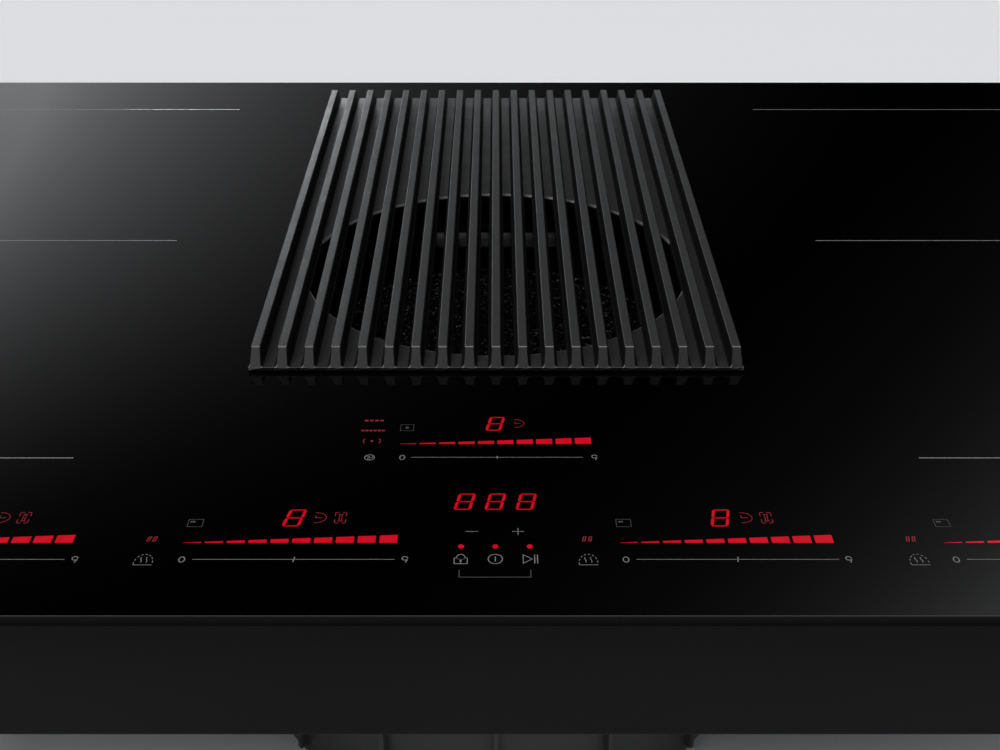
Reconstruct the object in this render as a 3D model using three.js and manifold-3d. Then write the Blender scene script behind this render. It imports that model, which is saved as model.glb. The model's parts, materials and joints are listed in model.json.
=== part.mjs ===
// Downdraft induction cooktop: a glass-ceramic top with two flex zones, and a vent between them
// that draws air down through a cast grille and a filter basket into a blower under the tray.
// Millimetres. +X right, +Y to the rear, +Z up. z = 0 is the underside of the blower tub, and
// x = y = 0 is the middle of the glass.
import * as THREE from 'three';
import { mergeVertices } from 'three/addons/utils/BufferGeometryUtils.js';
import Module from 'manifold-3d';

const wasm = await Module();
wasm.setup();

// ---------------------------------------------------------------- driving dimensions

const seatGap = 0.3;               // left between two pieces that seat on each other
const slideGap = 1.4;              // round a piece that is lifted out

// glass and what is bonded under it
const glassWidth = 830;
const glassDepth = 520;
const glassThickness = 4;
const glassCornerRadius = 5;
const glassChamfer = 0.8;
const sealInset = 4;
const sealWidth = 8;
const sealThickness = 2.5;
const frameWidth = 6;
const frameThickness = 3;
const sideOverhang = 33;           // glass edge to the tray's wall, left and right
const frontOverhang = 23;          // the same at the front and rear

// vent grille
const grilleSetback = 151.8;       // front edge of the glass to the front edge of the grille
const grilleWidth = 196;
const grilleDepth = 332;
const grillePlate = 1.5;
const grilleLift = 0.55;           // air gap under the plate
const grilleBarCount = 19;
const grilleBarTop = 3.8;
const grilleBarRoot = 4.7;
const grilleBarFoot = 5.4;
const grilleBarHeight = 6.7;       // above the plate
const grilleBarEndSlope = 5.2;
const grilleBarFillet = 0.6;
const padRadius = 6;
const padInset = 13;               // grille's edges to the middle of a pad
const padPocket = 0.9;

// vent opening, basket, filter and drip cup
const ventSetback = 95.5;          // front edge of the grille to the centre of the vent
const ventRadius = 85;             // round hole in the grille plate
const skirtThickness = 1.6;
const skirtDepth = 4;
const basketWall = 1.8;
const basketDepth = 50;
const basketDraft = 5;
const basketLip = 3.3;
const basketLipThickness = 1.4;
const basketFloorRing = 7;
const basketFloor = 2.6;
const basketSpokes = 8;
const basketSpokeWidth = 3;
const basketHub = 11;
const gripLength = 63;
const gripHeight = 8;
const gripThickness = 4;
const gripDrop = 20.5;             // glass top to the top of the grip bar
const filterThickness = 9.5;
const filterRim = 2.5;
const collarWall = 3;
const collarFlange = 11;
const collarFlangeThickness = 2.5;
const collarReach = 5;             // how far the collar enters the suction chamber
const lipSealWidth = 3.5;
const cupRadius = 64;
const cupHeight = 36;
const cupWall = 2;
const cupTaper = 5;
const cupGripWidth = 16;
const cupGripReach = 13;
const cupGripThickness = 2.5;

// blower module, stacked from the bottom up
const tubHeight = 104;
const tubHalfWidth = 120;
const tubFrontRadius = 120;
const tubRearSetback = 28;         // glass rear edge to the tub's rear wall
const tubWall = 2.5;
const tubRimWidth = 6;
const tubRimThickness = 3;
const tubCorner = 10;
const tubRibReach = 4;             // how far the ribs stand out of the tub's wall
const tubRibLift = 6;
const tubFrontRibs = 7;
const tubSideRibs = 4;
const baseRecess = 0.8;            // depth of the panels moulded into the underside
const baseRib = 8;
const baseBorder = 13;
const deckThickness = 2.5;
const drainSlotLength = 26;
const drainSlotWidth = 5;
const drainSlotPitch = 40;
const chamberHeight = 42.6;
const chamberFrontRadius = 111;
const chamberRearRadius = 84;
const blowerFromRear = 138;        // glass rear edge to the impeller's axis
const plenumRadius = 106;
const impellerRadius = 80;
const impellerBase = 34;
const impellerHeight = 52;
const impellerRimHeight = 42;
const impellerBladeCount = 9;
const impellerBladeThickness = 2;
const impellerPlate = 2;
const impellerSweep = 1.15;        // angle that a blade falls back over its bend, in radians
const impellerBend = 62;
const impellerShaftGrip = 14;
const inletRadius = 50;
const inletDepth = 9;
const inletLip = 9;
const motorRadius = 40;
const motorHeight = 24;
const motorFlangeRadius = 50;
const motorFlangeThickness = 3;
const motorLugLength = 14;
const motorLugWidth = 12;
const motorScrewRadius = 2.2;
const shaftRadius = 4;
const shaftLength = 24;
const shaftClearance = 0.3;

// outlet
const outletWidth = 217;
const outletHeight = 84;
const outletFlange = 7;
const outletFlangeThickness = 3;
const outletCorner = 8;
const outletWall = 2;
const outletReach = 21;
const outletSill = 10;             // underside of the tub to the bottom of the duct
const flapThickness = 1.6;
const flapClearance = 1.2;
const flapPinRadius = 1.8;
const flapStopHeight = 5;

// tray and what stands in it
const sheet = 1.2;
const trayDepth = 62.4;
const trayFlange = 4;
const trayCornerRadius = 6;
const louvreCount = 7;
const louvrePitch = 18;
const louvreWidth = 5;
const louvreHeight = 30;
const clampWidth = 24;
const clampHeight = 34;
const clampReach = 7;
const clampLand = 5;               // height of the face that presses on the edge of the cut-out
const clampDrop = 2;

// induction coils, two on each side
const coilInnerEdge = 146;         // middle of the glass to the first winding
const coilSideGap = 16.8;          // last winding to the tray's side wall
const coilGap = 10;                // between the front and the rear coil of a side
const zoneFrontSetback = 88.8;     // front edge of the glass to the flex zone's front line
const zoneRearSetback = 51.2;
const coilTurns = 4;
const coilTurnPitch = 12;
const coilWireWidth = 10.4;
const coilWireHeight = 4.5;
const coilUnderGlass = 1.5;
const carrierThickness = 2;
const ferriteHeight = 4;
const ferriteWidth = 12;
const ferriteLength = 44;
const ferriteInset = 8;
const sensorRadius = 7;
const coilDeckInner = 118;
const coilDeckOverlap = 8;         // how far the deck runs on past the flex zone
const deckWindowLength = 150;
const deckWindowWidth = 26;
const deckWindowCorner = 8;

// electronics and cooling
const boardThickness = 1.6;
const boardStandoff = 7;
const boardWidth = 190;
const boardFrontGap = 8;           // cooling fan to the board
const boardRearGap = 11.4;         // board to the coil deck's rear leg
const capacitorRadius = 15;
const capacitorHeight = 26;
const heatSinkWidth = 84;
const heatSinkEndGap = 43;
const heatSinkBase = 5;
const heatSinkHeight = 30;
const heatSinkFins = 11;
const heatSinkFinThickness = 2;
const coolerSize = 92;
const coolerHeight = 25;
const coolerBore = 43.5;
const coolerHub = 18;
const coolerBladeCount = 7;
const coolerBladeThickness = 1.6;
const coolerBladeChord = 24;
const coolerBladeTilt = 0.95;
const coolerPinRadius = 2;
const coolerTipGap = 0.9;
const coolerSetback = 64;          // tray's front wall to the cooling fans
const intakeSlots = 7;
const intakeSlotWidth = 6;

// touch controls
const touchSetback = 26;           // front edge of the glass to the touch board's front edge
const touchLength = 470;
const touchDepth = 34;
const touchBoardDrop = 5;          // glass underside to the board
const leftSliderDigit = -67.4;     // middle of the glass to the digit of each inner slider
const rightSliderDigit = 75.2;
const sliderPitch = 106;           // between the two sliders of a side
const sliderDisplay = 18;
const timerDisplay = 34;
const displayDepth = 12;
const ventBoardLength = 200;
const ventBoardDepth = 34;
const ventBoardSetback = 86;
const ventRamp = 74;
const ventRampDepth = 5;
const carrierWall = 1.6;
const carrierDepth = 5;
const carrierArm = 14;
const carrierLeg = 10;
const carrierLegInset = 45;

// supply terminals
const terminalLength = 96;
const terminalDepth = 58;
const terminalHeight = 27;
const terminalWall = 2;
const terminalSetback = 20;        // tray's rear wall to the terminal box
const terminalFromTub = 22;
const terminalStripLength = 60;
const terminalStripDepth = 16;
const glandRadius = 11;
const glandLength = 20;

// ---------------------------------------------------------------- derived levels and places

const deckBottom = tubHeight + seatGap;
const deckTop = deckBottom + deckThickness;
const chamberBottom = deckTop + seatGap;
const chamberTop = chamberBottom + chamberHeight;
const trayBottom = chamberTop + seatGap;
const trayFloor = trayBottom + sheet;
const trayTop = trayBottom + trayDepth;
const frameBottom = trayTop + seatGap;
const frameTop = frameBottom + frameThickness;
const glassBottom = frameTop + seatGap;
const glassTop = glassBottom + glassThickness;
const plateBottom = glassTop + grilleLift;
const plateTop = plateBottom + grillePlate;

const frontEdge = -glassDepth / 2;
const rearEdge = glassDepth / 2;
const grilleFront = frontEdge + grilleSetback;
const ventY = grilleFront + ventSetback;
const blowerY = rearEdge - blowerFromRear;
const tubRear = rearEdge - tubRearSetback;

const skirtOuter = ventRadius + skirtThickness;
const basketInner = skirtOuter + seatGap + basketDraft * (skirtDepth + 1) / basketDepth;
const basketOuter = basketInner + basketWall;
const collarInner = basketOuter + seatGap;
const collarOuter = collarInner + collarWall;
const openingRadius = collarOuter + seatGap * 2;
const collarTop = glassTop - basketLipThickness - seatGap;
const collarBottom = chamberTop - collarReach;
const sealOuter = collarOuter + seatGap + lipSealWidth;
const basketTop = glassTop;
const basketBottom = basketTop - basketDepth;

const trayWidth = glassWidth - 2 * sideOverhang;
const trayLength = glassDepth - 2 * frontOverhang;
const frameOuterWidth = trayWidth + 2 * trayFlange;
const frameOuterDepth = trayLength + 2 * trayFlange;

const coilWidth = trayWidth / 2 - sheet - coilSideGap - coilInnerEdge;
const coilPitchY = (glassDepth - zoneFrontSetback - zoneRearSetback) / 2;
const coilDepth = coilPitchY - coilGap;

const round = Math.PI * 2;

// flat facets round a full turn
const ventFacets = 28;
const facets = 18;
const smallFacets = 8;

// ---------------------------------------------------------------- shape helpers

// A closed three.js geometry, welded and facing outwards, as a solid that can be joined and cut.
function solidOf(geometry) {
  const bare = geometry.clone();
  bare.deleteAttribute('normal');
  bare.deleteAttribute('uv');
  const welded = mergeVertices(bare, 1e-4);
  const place = welded.attributes.position;
  const corners = welded.index.array;
  const triangles = [];
  let volume = 0;
  const [a, b, c] = [new THREE.Vector3(), new THREE.Vector3(), new THREE.Vector3()];
  for (let i = 0; i < corners.length; i += 3) {
    const [ia, ib, ic] = [corners[i], corners[i + 1], corners[i + 2]];
    if (ia === ib || ib === ic || ic === ia) continue;
    triangles.push(ia, ib, ic);
    a.fromBufferAttribute(place, ia);
    b.fromBufferAttribute(place, ib);
    c.fromBufferAttribute(place, ic);
    volume += a.dot(b.cross(c));
  }
  if (volume < 0) triangles.reverse();
  return new wasm.Manifold(new wasm.Mesh({
    numProp: 3,
    vertProperties: new Float32Array(place.array),
    triVerts: new Uint32Array(triangles),
  }));
}

function geometryOf(solid) {
  const mesh = solid.getMesh();
  const geometry = new THREE.BufferGeometry();
  geometry.setAttribute('position', new THREE.BufferAttribute(new Float32Array(mesh.vertProperties), 3));
  geometry.setIndex(new THREE.BufferAttribute(new Uint32Array(mesh.triVerts), 1));
  geometry.computeVertexNormals();
  return geometry;
}

const join = (...solids) => solids.reduce((whole, next) => whole.add(next));
const cut = (solid, ...tools) => tools.reduce((rest, tool) => rest.subtract(tool), solid);

function block(x0, x1, y0, y1, z0, z1) {
  const box = new THREE.BoxGeometry(x1 - x0, y1 - y0, z1 - z0);
  return solidOf(box.translate((x0 + x1) / 2, (y0 + y1) / 2, (z0 + z1) / 2));
}

// A flat outline raised from z0 to z1, with an optional chamfer on both of its faces. Each arc of
// the outline gets twice as many facets as arcs says.
function prism(outline, z0, z1, chamfer = 0, arcs = 2) {
  const solid = new THREE.ExtrudeGeometry(outline, {
    depth: z1 - z0 - 2 * chamfer,
    steps: 1,
    bevelEnabled: chamfer > 0,
    bevelThickness: chamfer,
    bevelSize: chamfer,
    bevelOffset: -chamfer,
    bevelSegments: 1,
    curveSegments: arcs,
  });
  return solidOf(solid.translate(0, 0, z0 + chamfer));
}

// An outline drawn in (x, z) and extruded along Y, or drawn in (y, z) and extruded along X.
function alongY(outline, y0, y1, arcs = 2) {
  const settings = { depth: y1 - y0, steps: 1, bevelEnabled: false, curveSegments: arcs };
  return solidOf(new THREE.ExtrudeGeometry(outline, settings).rotateX(Math.PI / 2).translate(0, y1, 0));
}

function alongX(outline, x0, x1, arcs = 2) {
  const settings = { depth: x1 - x0, steps: 1, bevelEnabled: false, curveSegments: arcs };
  const solid = new THREE.ExtrudeGeometry(outline, settings);
  return solidOf(solid.rotateX(Math.PI / 2).rotateZ(Math.PI / 2).translate(x0, 0, 0));
}

// A profile of [radius, height] pairs turned about the Z axis. It closes on itself or on the axis.
function turned(profile, segments = facets) {
  const points = profile.map(([r, z]) => new THREE.Vector2(r, z));
  return solidOf(new THREE.LatheGeometry(points, segments).rotateX(Math.PI / 2));
}

function disc(radius, z0, z1, segments = facets) {
  return turned([[0, z0], [radius, z0], [radius, z1], [0, z1]], segments);
}

function ring(outer, inner, z0, z1, segments = facets) {
  return turned([[outer, z0], [outer, z1], [inner, z1], [inner, z0], [outer, z0]], segments);
}

function at(solid, x, y, z = 0) {
  return solidOf(geometryOf(solid).translate(x, y, z));
}

function turnedBy(solid, angle) {
  return solidOf(geometryOf(solid).rotateZ(angle));
}

const circle = (x, y, radius) => new THREE.Shape().absarc(x, y, radius, 0, round);

function polygon(points) {
  return new THREE.Shape(points.map(([x, y]) => new THREE.Vector2(x, y)));
}

function roundedRectangle(width, height, radius, cx = 0, cy = 0) {
  const shape = new THREE.Shape();
  const [x, y] = [width / 2 - radius, height / 2 - radius];
  shape.absarc(cx + x, cy + y, radius, 0, Math.PI / 2);
  shape.absarc(cx - x, cy + y, radius, Math.PI / 2, Math.PI);
  shape.absarc(cx - x, cy - y, radius, Math.PI, Math.PI * 1.5);
  shape.absarc(cx + x, cy - y, radius, Math.PI * 1.5, round);
  return shape;
}

function rectangleRing(width, height, border, radius, z0, z1) {
  const outer = prism(roundedRectangle(width, height, radius), z0, z1);
  const hole = roundedRectangle(width - 2 * border, height - 2 * border, Math.max(radius - border, 1));
  return cut(outer, prism(hole, z0 - 1, z1 + 1));
}

// ---------------------------------------------------------------- materials

function finish(color, roughness, metalness) {
  return new THREE.MeshStandardMaterial({ color, roughness, metalness });
}

const glassBlack = finish(0x0b0b0d, 0.06, 0);
const castBlack = finish(0x2b2b2d, 0.62, 0.25);
const glossBlack = finish(0x101012, 0.18, 0);
const mattBlack = finish(0x1c1c1e, 0.6, 0);
const greyPlastic = finish(0x55585c, 0.55, 0);
const blackSheet = finish(0x1b1b1d, 0.5, 0.1);
const aluminium = finish(0xc4c7ca, 0.35, 0.95);
const steel = finish(0x8f9295, 0.35, 0.95);
const copper = finish(0xb06a3a, 0.4, 0.8);
const boardGreen = finish(0x1f5a3a, 0.5, 0);
const silicone = finish(0x3a3a3c, 0.8, 0);
const foam = finish(0x26262a, 0.95, 0);

// ---------------------------------------------------------------- assembly groups

const cooktop = new THREE.Group();
const top = new THREE.Group();
const vent = new THREE.Group();
const blower = new THREE.Group();
const trayGroup = new THREE.Group();
vent.position.set(0, ventY, 0);
blower.position.set(0, blowerY, 0);
cooktop.add(top, vent, blower, trayGroup);

function place(group, name, solid, material, x = 0, y = 0, z = 0) {
  const mesh = new THREE.Mesh(geometryOf(solid), material);
  mesh.name = name;
  mesh.position.set(x, y, z);
  group.add(mesh);
}

// ---------------------------------------------------------------- glass, seal and frame

function makeGlass() {
  const outline = roundedRectangle(glassWidth, glassDepth, glassCornerRadius);
  const plate = prism(outline, glassBottom, glassTop, glassChamfer);
  return cut(plate, at(disc(openingRadius, glassBottom - 1, glassTop + 1, ventFacets), 0, ventY));
}

function makeSeal() {
  const [width, depth] = [glassWidth - 2 * sealInset, glassDepth - 2 * sealInset];
  const z1 = glassBottom - seatGap;
  return rectangleRing(width, depth, sealWidth, glassCornerRadius, z1 - sealThickness, z1);
}

function makeFrame() {
  const [width, depth] = [frameOuterWidth, frameOuterDepth];
  return rectangleRing(width, depth, frameWidth, trayCornerRadius, frameBottom, frameTop);
}

// ---------------------------------------------------------------- grille

// Bars stand on the plate with a small foot and a slight draft, and run on below the plate's top
// where they cross the vent opening.
function grilleBarSection(cx) {
  const [foot, root, crown] = [grilleBarFoot / 2, grilleBarRoot / 2, grilleBarTop / 2];
  const rise = plateTop + grilleBarFillet;
  return polygon([
    [cx - foot, plateBottom],
    [cx + foot, plateBottom],
    [cx + foot, plateTop],
    [cx + root, rise],
    [cx + crown, plateTop + grilleBarHeight],
    [cx - crown, plateTop + grilleBarHeight],
    [cx - root, rise],
    [cx - foot, plateTop],
  ]);
}

const padX = grilleWidth / 2 - padInset;
const padY = grilleDepth / 2 - padInset;
const grilleMiddle = grilleFront + grilleDepth / 2;

function makeGrille() {
  const [y0, y1] = [grilleFront, grilleFront + grilleDepth];
  const halfWidth = grilleWidth / 2;
  let casting = block(-halfWidth, halfWidth, y0, y1, plateBottom, plateTop);
  const skirt = ring(skirtOuter, ventRadius, plateBottom - skirtDepth, plateTop, ventFacets);
  const opening = disc(ventRadius, plateBottom - skirtDepth - 1, plateTop + 1, ventFacets);
  casting = cut(join(casting, at(skirt, 0, ventY)), at(opening, 0, ventY));
  const pitch = (grilleWidth - grilleBarFoot) / (grilleBarCount - 1);
  for (let i = 0; i < grilleBarCount; i += 1) {
    const cx = (i - (grilleBarCount - 1) / 2) * pitch;
    casting = join(casting, alongY(grilleBarSection(cx), y0, y1));
  }
  const barTop = plateTop + grilleBarHeight;
  const sideView = polygon([
    [y0, plateBottom - skirtDepth - 1],
    [y1, plateBottom - skirtDepth - 1],
    [y1, plateTop],
    [y1 - grilleBarEndSlope, barTop + 0.01],
    [y0 + grilleBarEndSlope, barTop + 0.01],
    [y0, plateTop],
  ]);
  casting = casting.intersect(alongX(sideView, -halfWidth - 1, halfWidth + 1));
  for (const [sx, sy] of cornerSigns) {
    const pocket = disc(padRadius + seatGap, plateBottom - 1, plateBottom + padPocket, smallFacets);
    casting = cut(casting, at(pocket, sx * padX, grilleMiddle + sy * padY));
  }
  return casting;
}

const cornerSigns = [[-1, -1], [1, -1], [-1, 1], [1, 1]];
const cornerNames = ['front_left', 'front_right', 'rear_left', 'rear_right'];

function makePad() {
  return disc(padRadius, glassTop + 0.1, plateBottom + padPocket - seatGap, smallFacets);
}

// ---------------------------------------------------------------- basket, filter, cup, collar

const basketFoot = basketInner - basketDraft;

function basketShell() {
  const lipRadius = basketOuter + basketLip;
  return turned([
    [basketInner, basketTop],
    [lipRadius, basketTop],
    [lipRadius, basketTop - basketLipThickness],
    [basketOuter, basketTop - basketLipThickness],
    [basketFoot + basketWall, basketBottom + 1.5],
    [basketFoot, basketBottom],
    [basketFoot - basketFloorRing, basketBottom],
    [basketFoot - basketFloorRing, basketBottom + basketFloor],
    [basketFoot, basketBottom + basketFloor],
    [basketInner, basketTop],
  ], ventFacets);
}

// The grip is a straight bar whose two ends run into the rear wall, with room for fingers behind.
function basketGrip() {
  const z1 = glassTop - gripDrop;
  const drop = (glassTop - z1 + gripHeight / 2) / basketDepth;
  const wallRadius = basketInner - basketDraft * drop;
  const half = gripLength / 2;
  const chord = Math.sqrt(wallRadius ** 2 - half ** 2);
  return block(-half, half, chord - gripThickness, chord + basketWall * 0.7, z1 - gripHeight, z1);
}

function makeBasket() {
  const [z0, z1] = [basketBottom, basketBottom + basketFloor];
  let basket = join(basketShell(), basketGrip(), disc(basketHub, z0, z1, smallFacets));
  const [reach, half] = [basketFoot - basketFloorRing / 2, basketSpokeWidth / 2];
  for (let i = 0; i < basketSpokes / 2; i += 1) {
    const spoke = block(-reach, reach, -half, half, z0, z1);
    basket = join(basket, turnedBy(spoke, (i + 0.5) * round / basketSpokes));
  }
  return basket;
}

function makeGreaseFilter() {
  const z0 = basketBottom + basketFloor + seatGap;
  const radius = basketFoot - seatGap;
  return turned([
    [0, z0], [radius, z0], [radius, z0 + filterThickness], [radius - filterRim, z0 + filterThickness],
    [radius - filterRim, z0 + filterThickness - 0.8], [0, z0 + filterThickness - 0.8],
  ], ventFacets);
}

function makeCup() {
  const [z0, z1] = [chamberBottom, chamberBottom + cupHeight];
  const foot = cupRadius - cupTaper;
  const bowl = turned([
    [0, z0], [foot, z0], [cupRadius, z0 + 8], [cupRadius, z1],
    [cupRadius - cupWall, z1], [cupRadius - cupWall, z0 + 9], [foot - 1, z0 + cupWall], [0, z0 + cupWall],
  ]);
  const reach = cupRadius - cupWall / 2;
  const [half, gripTop] = [cupGripWidth / 2, z1 - cupGripThickness];
  const grip = block(-half, half, reach - cupGripReach, reach, gripTop - cupGripThickness, gripTop);
  return join(bowl, grip);
}

function makeCollar() {
  const flangeTop = glassBottom - seatGap;
  const flangeOuter = collarOuter + collarFlange;
  return turned([
    [collarInner, collarTop], [collarOuter, collarTop], [collarOuter, flangeTop],
    [flangeOuter, flangeTop], [flangeOuter, flangeTop - collarFlangeThickness],
    [collarOuter, flangeTop - collarFlangeThickness], [collarOuter, collarBottom],
    [collarInner, collarBottom], [collarInner, collarTop],
  ], ventFacets);
}

function makeLipSeal() {
  return ring(sealOuter, collarOuter + seatGap, collarBottom + 0.5, chamberTop, ventFacets);
}

// ---------------------------------------------------------------- blower module

// Seen from above the tub has a round front about the vent and a square rear.
function tubOutline(inset) {
  const shape = new THREE.Shape();
  const [x, y] = [tubHalfWidth - inset - tubCorner, tubRear - inset - tubCorner];
  shape.absarc(0, ventY, tubFrontRadius - inset, Math.PI, round, false);
  shape.absarc(x, y, tubCorner, 0, Math.PI / 2);
  shape.absarc(-x, y, tubCorner, Math.PI / 2, Math.PI);
  return shape;
}

// An outline whose arcs are large, such as the tub's front.
const widePrism = (outline, z0, z1) => prism(outline, z0, z1, 0, 5);

const outletMiddle = outletSill + outletHeight / 2;
const boreWidth = outletWidth - 2 * outletWall;
const boreHeight = outletHeight - 2 * outletWall;
const motorScrewCircle = motorFlangeRadius + motorLugLength / 7;

// Upright ribs round the outside of the tub, under its rim.
function tubRibs() {
  const [z0, z1, half] = [tubRibLift, tubHeight - 1, tubWall / 2];
  const ribs = [];
  const fan = 0.82 * Math.PI;
  for (let i = 0; i < tubFrontRibs; i += 1) {
    const angle = 1.5 * Math.PI + fan * (i / (tubFrontRibs - 1) - 0.5);
    const rib = block(tubFrontRadius - 1, tubFrontRadius + tubRibReach, -half, half, z0, z1);
    ribs.push(at(turnedBy(rib, angle), 0, ventY));
  }
  const [first, last] = [ventY + 3 * tubCorner, tubRear - 3 * tubCorner];
  for (let i = 0; i < tubSideRibs; i += 1) {
    const y = first + (last - first) * i / (tubSideRibs - 1);
    ribs.push(block(tubHalfWidth - 1, tubHalfWidth + tubRibReach, y - half, y + half, z0, z1));
    ribs.push(block(-tubHalfWidth - tubRibReach, -tubHalfWidth + 1, y - half, y + half, z0, z1));
  }
  return ribs;
}

// Shallow panels moulded into the underside, which leave a border, a rib along each axis, and a
// ring with six spokes round the motor's seat.
function basePanels() {
  const seat = motorFlangeRadius + baseBorder;
  const ringOuter = plenumRadius - baseRib;
  let front = widePrism(tubOutline(baseBorder), -1, baseRecess);
  front = cut(front, block(-tubHalfWidth, tubHalfWidth, ventY + baseRib, tubRear, -2, 1));
  for (const y of [ventY, ventY - tubFrontRadius / 2]) {
    front = cut(front, block(-tubHalfWidth, tubHalfWidth, y - baseRib / 2, y + baseRib / 2, -2, 1));
  }
  const spoke = block(-baseRib / 2, baseRib / 2, -tubRear, tubRear, -2, 1);
  front = cut(front, spoke, at(spoke, tubHalfWidth / 2, 0), at(spoke, -tubHalfWidth / 2, 0));
  let wheel = ring(ringOuter, seat, -1, baseRecess);
  for (let i = 0; i < 3; i += 1) wheel = cut(wheel, turnedBy(spoke, i * round / 6));
  return [front, at(wheel, 0, blowerY)];
}

function makeTub() {
  let tub = widePrism(tubOutline(0), 0, tubHeight);
  tub = join(tub, widePrism(tubOutline(-tubRimWidth), tubHeight - tubRimThickness, tubHeight));
  tub = cut(tub, widePrism(tubOutline(tubWall), tubWall, tubHeight + 1));
  const half = tubHalfWidth - tubWall / 2;
  const wing = tubWall * 2;
  const plenum = cut(
    join(disc(plenumRadius + tubWall, 0.5, tubHeight), block(-half, half, 0, wing, 0.5, tubHeight)),
    disc(plenumRadius, 0, tubHeight + 1),
    block(-half - 1, half + 1, wing, plenumRadius + 3 * tubWall, 0, tubHeight + 1),
  );
  tub = join(tub, at(plenum, 0, blowerY), ...tubRibs());
  const mouth = roundedRectangle(boreWidth, boreHeight, outletCorner - outletWall, 0, outletMiddle);
  tub = cut(tub, alongY(mouth, tubRear - tubWall - 1, tubRear + 1), ...basePanels());
  for (let i = 0; i < 3; i += 1) {
    const screw = at(disc(motorScrewRadius, -1, tubWall + 1, smallFacets), motorScrewCircle, 0);
    tub = cut(tub, at(turnedBy(screw, i * round / 3), 0, blowerY));
  }
  return tub;
}

// The deck closes the tub. Its bell leads the air into the impeller, and drain slots lead a spill
// round the drip cup's seat into the sump at the front of the tub.
function makeDeck() {
  let deck = widePrism(tubOutline(-tubRimWidth), deckBottom, deckTop);
  const throat = deckBottom - inletDepth;
  const lip = inletRadius + inletLip;
  const bell = turned([
    [lip, deckTop], [lip, deckBottom], [inletRadius + 4, deckBottom - 2], [inletRadius + 2, throat],
    [inletRadius, throat], [inletRadius + 1.2, deckBottom - 1], [inletRadius + 5, deckTop - 0.8],
    [lip, deckTop],
  ]);
  deck = cut(deck, at(disc(lip - 1, deckBottom - 1, deckTop + 1), 0, blowerY));
  deck = join(deck, at(bell, 0, blowerY));
  const slots = [-1, 0, 1].map((i) => {
    const [x, y] = [i * drainSlotPitch, ventY - cupRadius - 18 + Math.abs(i) * 12];
    const slot = roundedRectangle(drainSlotLength, drainSlotWidth, drainSlotWidth / 2 - 0.1, x, y);
    return prism(slot, deckBottom - 1, deckTop + 1);
  });
  return cut(deck, ...slots);
}

// The suction chamber's plan is the hull of a circle about the vent and one about the impeller.
function chamberOutline(inset) {
  const [front, rear] = [chamberFrontRadius - inset, chamberRearRadius - inset];
  const lean = Math.asin((front - rear) / (blowerY - ventY));
  const shape = new THREE.Shape();
  shape.absarc(0, ventY, front, Math.PI - lean, round + lean, false);
  shape.absarc(0, blowerY, rear, lean, Math.PI - lean, false);
  return shape;
}

function makeChamber() {
  let shell = widePrism(chamberOutline(0), chamberBottom, chamberTop);
  const rim = widePrism(chamberOutline(-tubRimWidth), chamberBottom, chamberBottom + tubRimThickness);
  shell = join(shell, rim);
  shell = cut(shell, widePrism(chamberOutline(tubWall), chamberBottom - 1, chamberTop - tubWall));
  const mouth = disc(sealOuter + seatGap, chamberTop - tubWall - 1, chamberTop + 1, ventFacets);
  return cut(shell, at(mouth, 0, ventY));
}

// One blade seen from above: a band of even thickness that leans back against the rotation.
function bladeOutline() {
  const bladeSteps = 3;
  const [inner, outer] = [inletRadius - 6, impellerRadius - 0.8];
  const shape = new THREE.Shape();
  const spine = [];
  for (let i = 0; i <= bladeSteps; i += 1) {
    const r = inner + (outer - inner) * i / bladeSteps;
    const angle = -((r - inner) / impellerBend) * impellerSweep;
    spine.push(new THREE.Vector2(r * Math.cos(angle), r * Math.sin(angle)));
  }
  const side = spine.map((p, i) => {
    const [before, after] = [spine[Math.max(i - 1, 0)], spine[Math.min(i + 1, bladeSteps)]];
    const along = after.clone().sub(before).normalize();
    return new THREE.Vector2(p.x - along.y * impellerBladeThickness, p.y + along.x * impellerBladeThickness);
  });
  shape.setFromPoints([...spine, ...side.reverse()]);
  return shape;
}

// Height of the shroud's inner face over the radius: high at the eye, lower at the rim.
const impellerEye = inletRadius + 4;
const impellerTop = impellerBase + impellerHeight;
const impellerRim = impellerBase + impellerRimHeight;

function makeImpeller() {
  const underShroud = [
    [0, impellerBase], [impellerRadius, impellerBase], [impellerRadius, impellerRim],
    [impellerEye + 8, impellerTop - 6], [impellerEye, impellerTop], [0, impellerTop],
  ];
  const shroud = turned([
    [impellerRadius, impellerRim - impellerPlate], [impellerRadius, impellerRim],
    [impellerEye + 9, impellerTop - 5], [impellerEye + impellerPlate, impellerTop + 2],
    [impellerEye, impellerTop + 2], [impellerEye + 7, impellerTop - 8],
    [impellerRadius, impellerRim - impellerPlate],
  ]);
  const bore = shaftRadius + shaftClearance;
  const hubRadius = motorRadius + 4;
  const hubTop = motorFlangeThickness + tubWall + motorHeight + impellerShaftGrip;
  const backplate = turned([
    [impellerRadius, impellerBase], [impellerRadius, impellerBase + impellerPlate],
    [hubRadius, impellerBase + impellerPlate], [14, hubTop + impellerPlate + 4],
    [bore, hubTop + impellerPlate + 4], [bore, hubTop], [hubRadius - 2, impellerBase],
    [impellerRadius, impellerBase],
  ]);
  const blade = prism(bladeOutline(), impellerBase + 1, impellerTop + 1).intersect(turned(underShroud));
  let wheel = join(backplate, shroud);
  for (let i = 0; i < impellerBladeCount; i += 1) {
    wheel = join(wheel, turnedBy(blade, i * round / impellerBladeCount));
  }
  return wheel;
}

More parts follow.
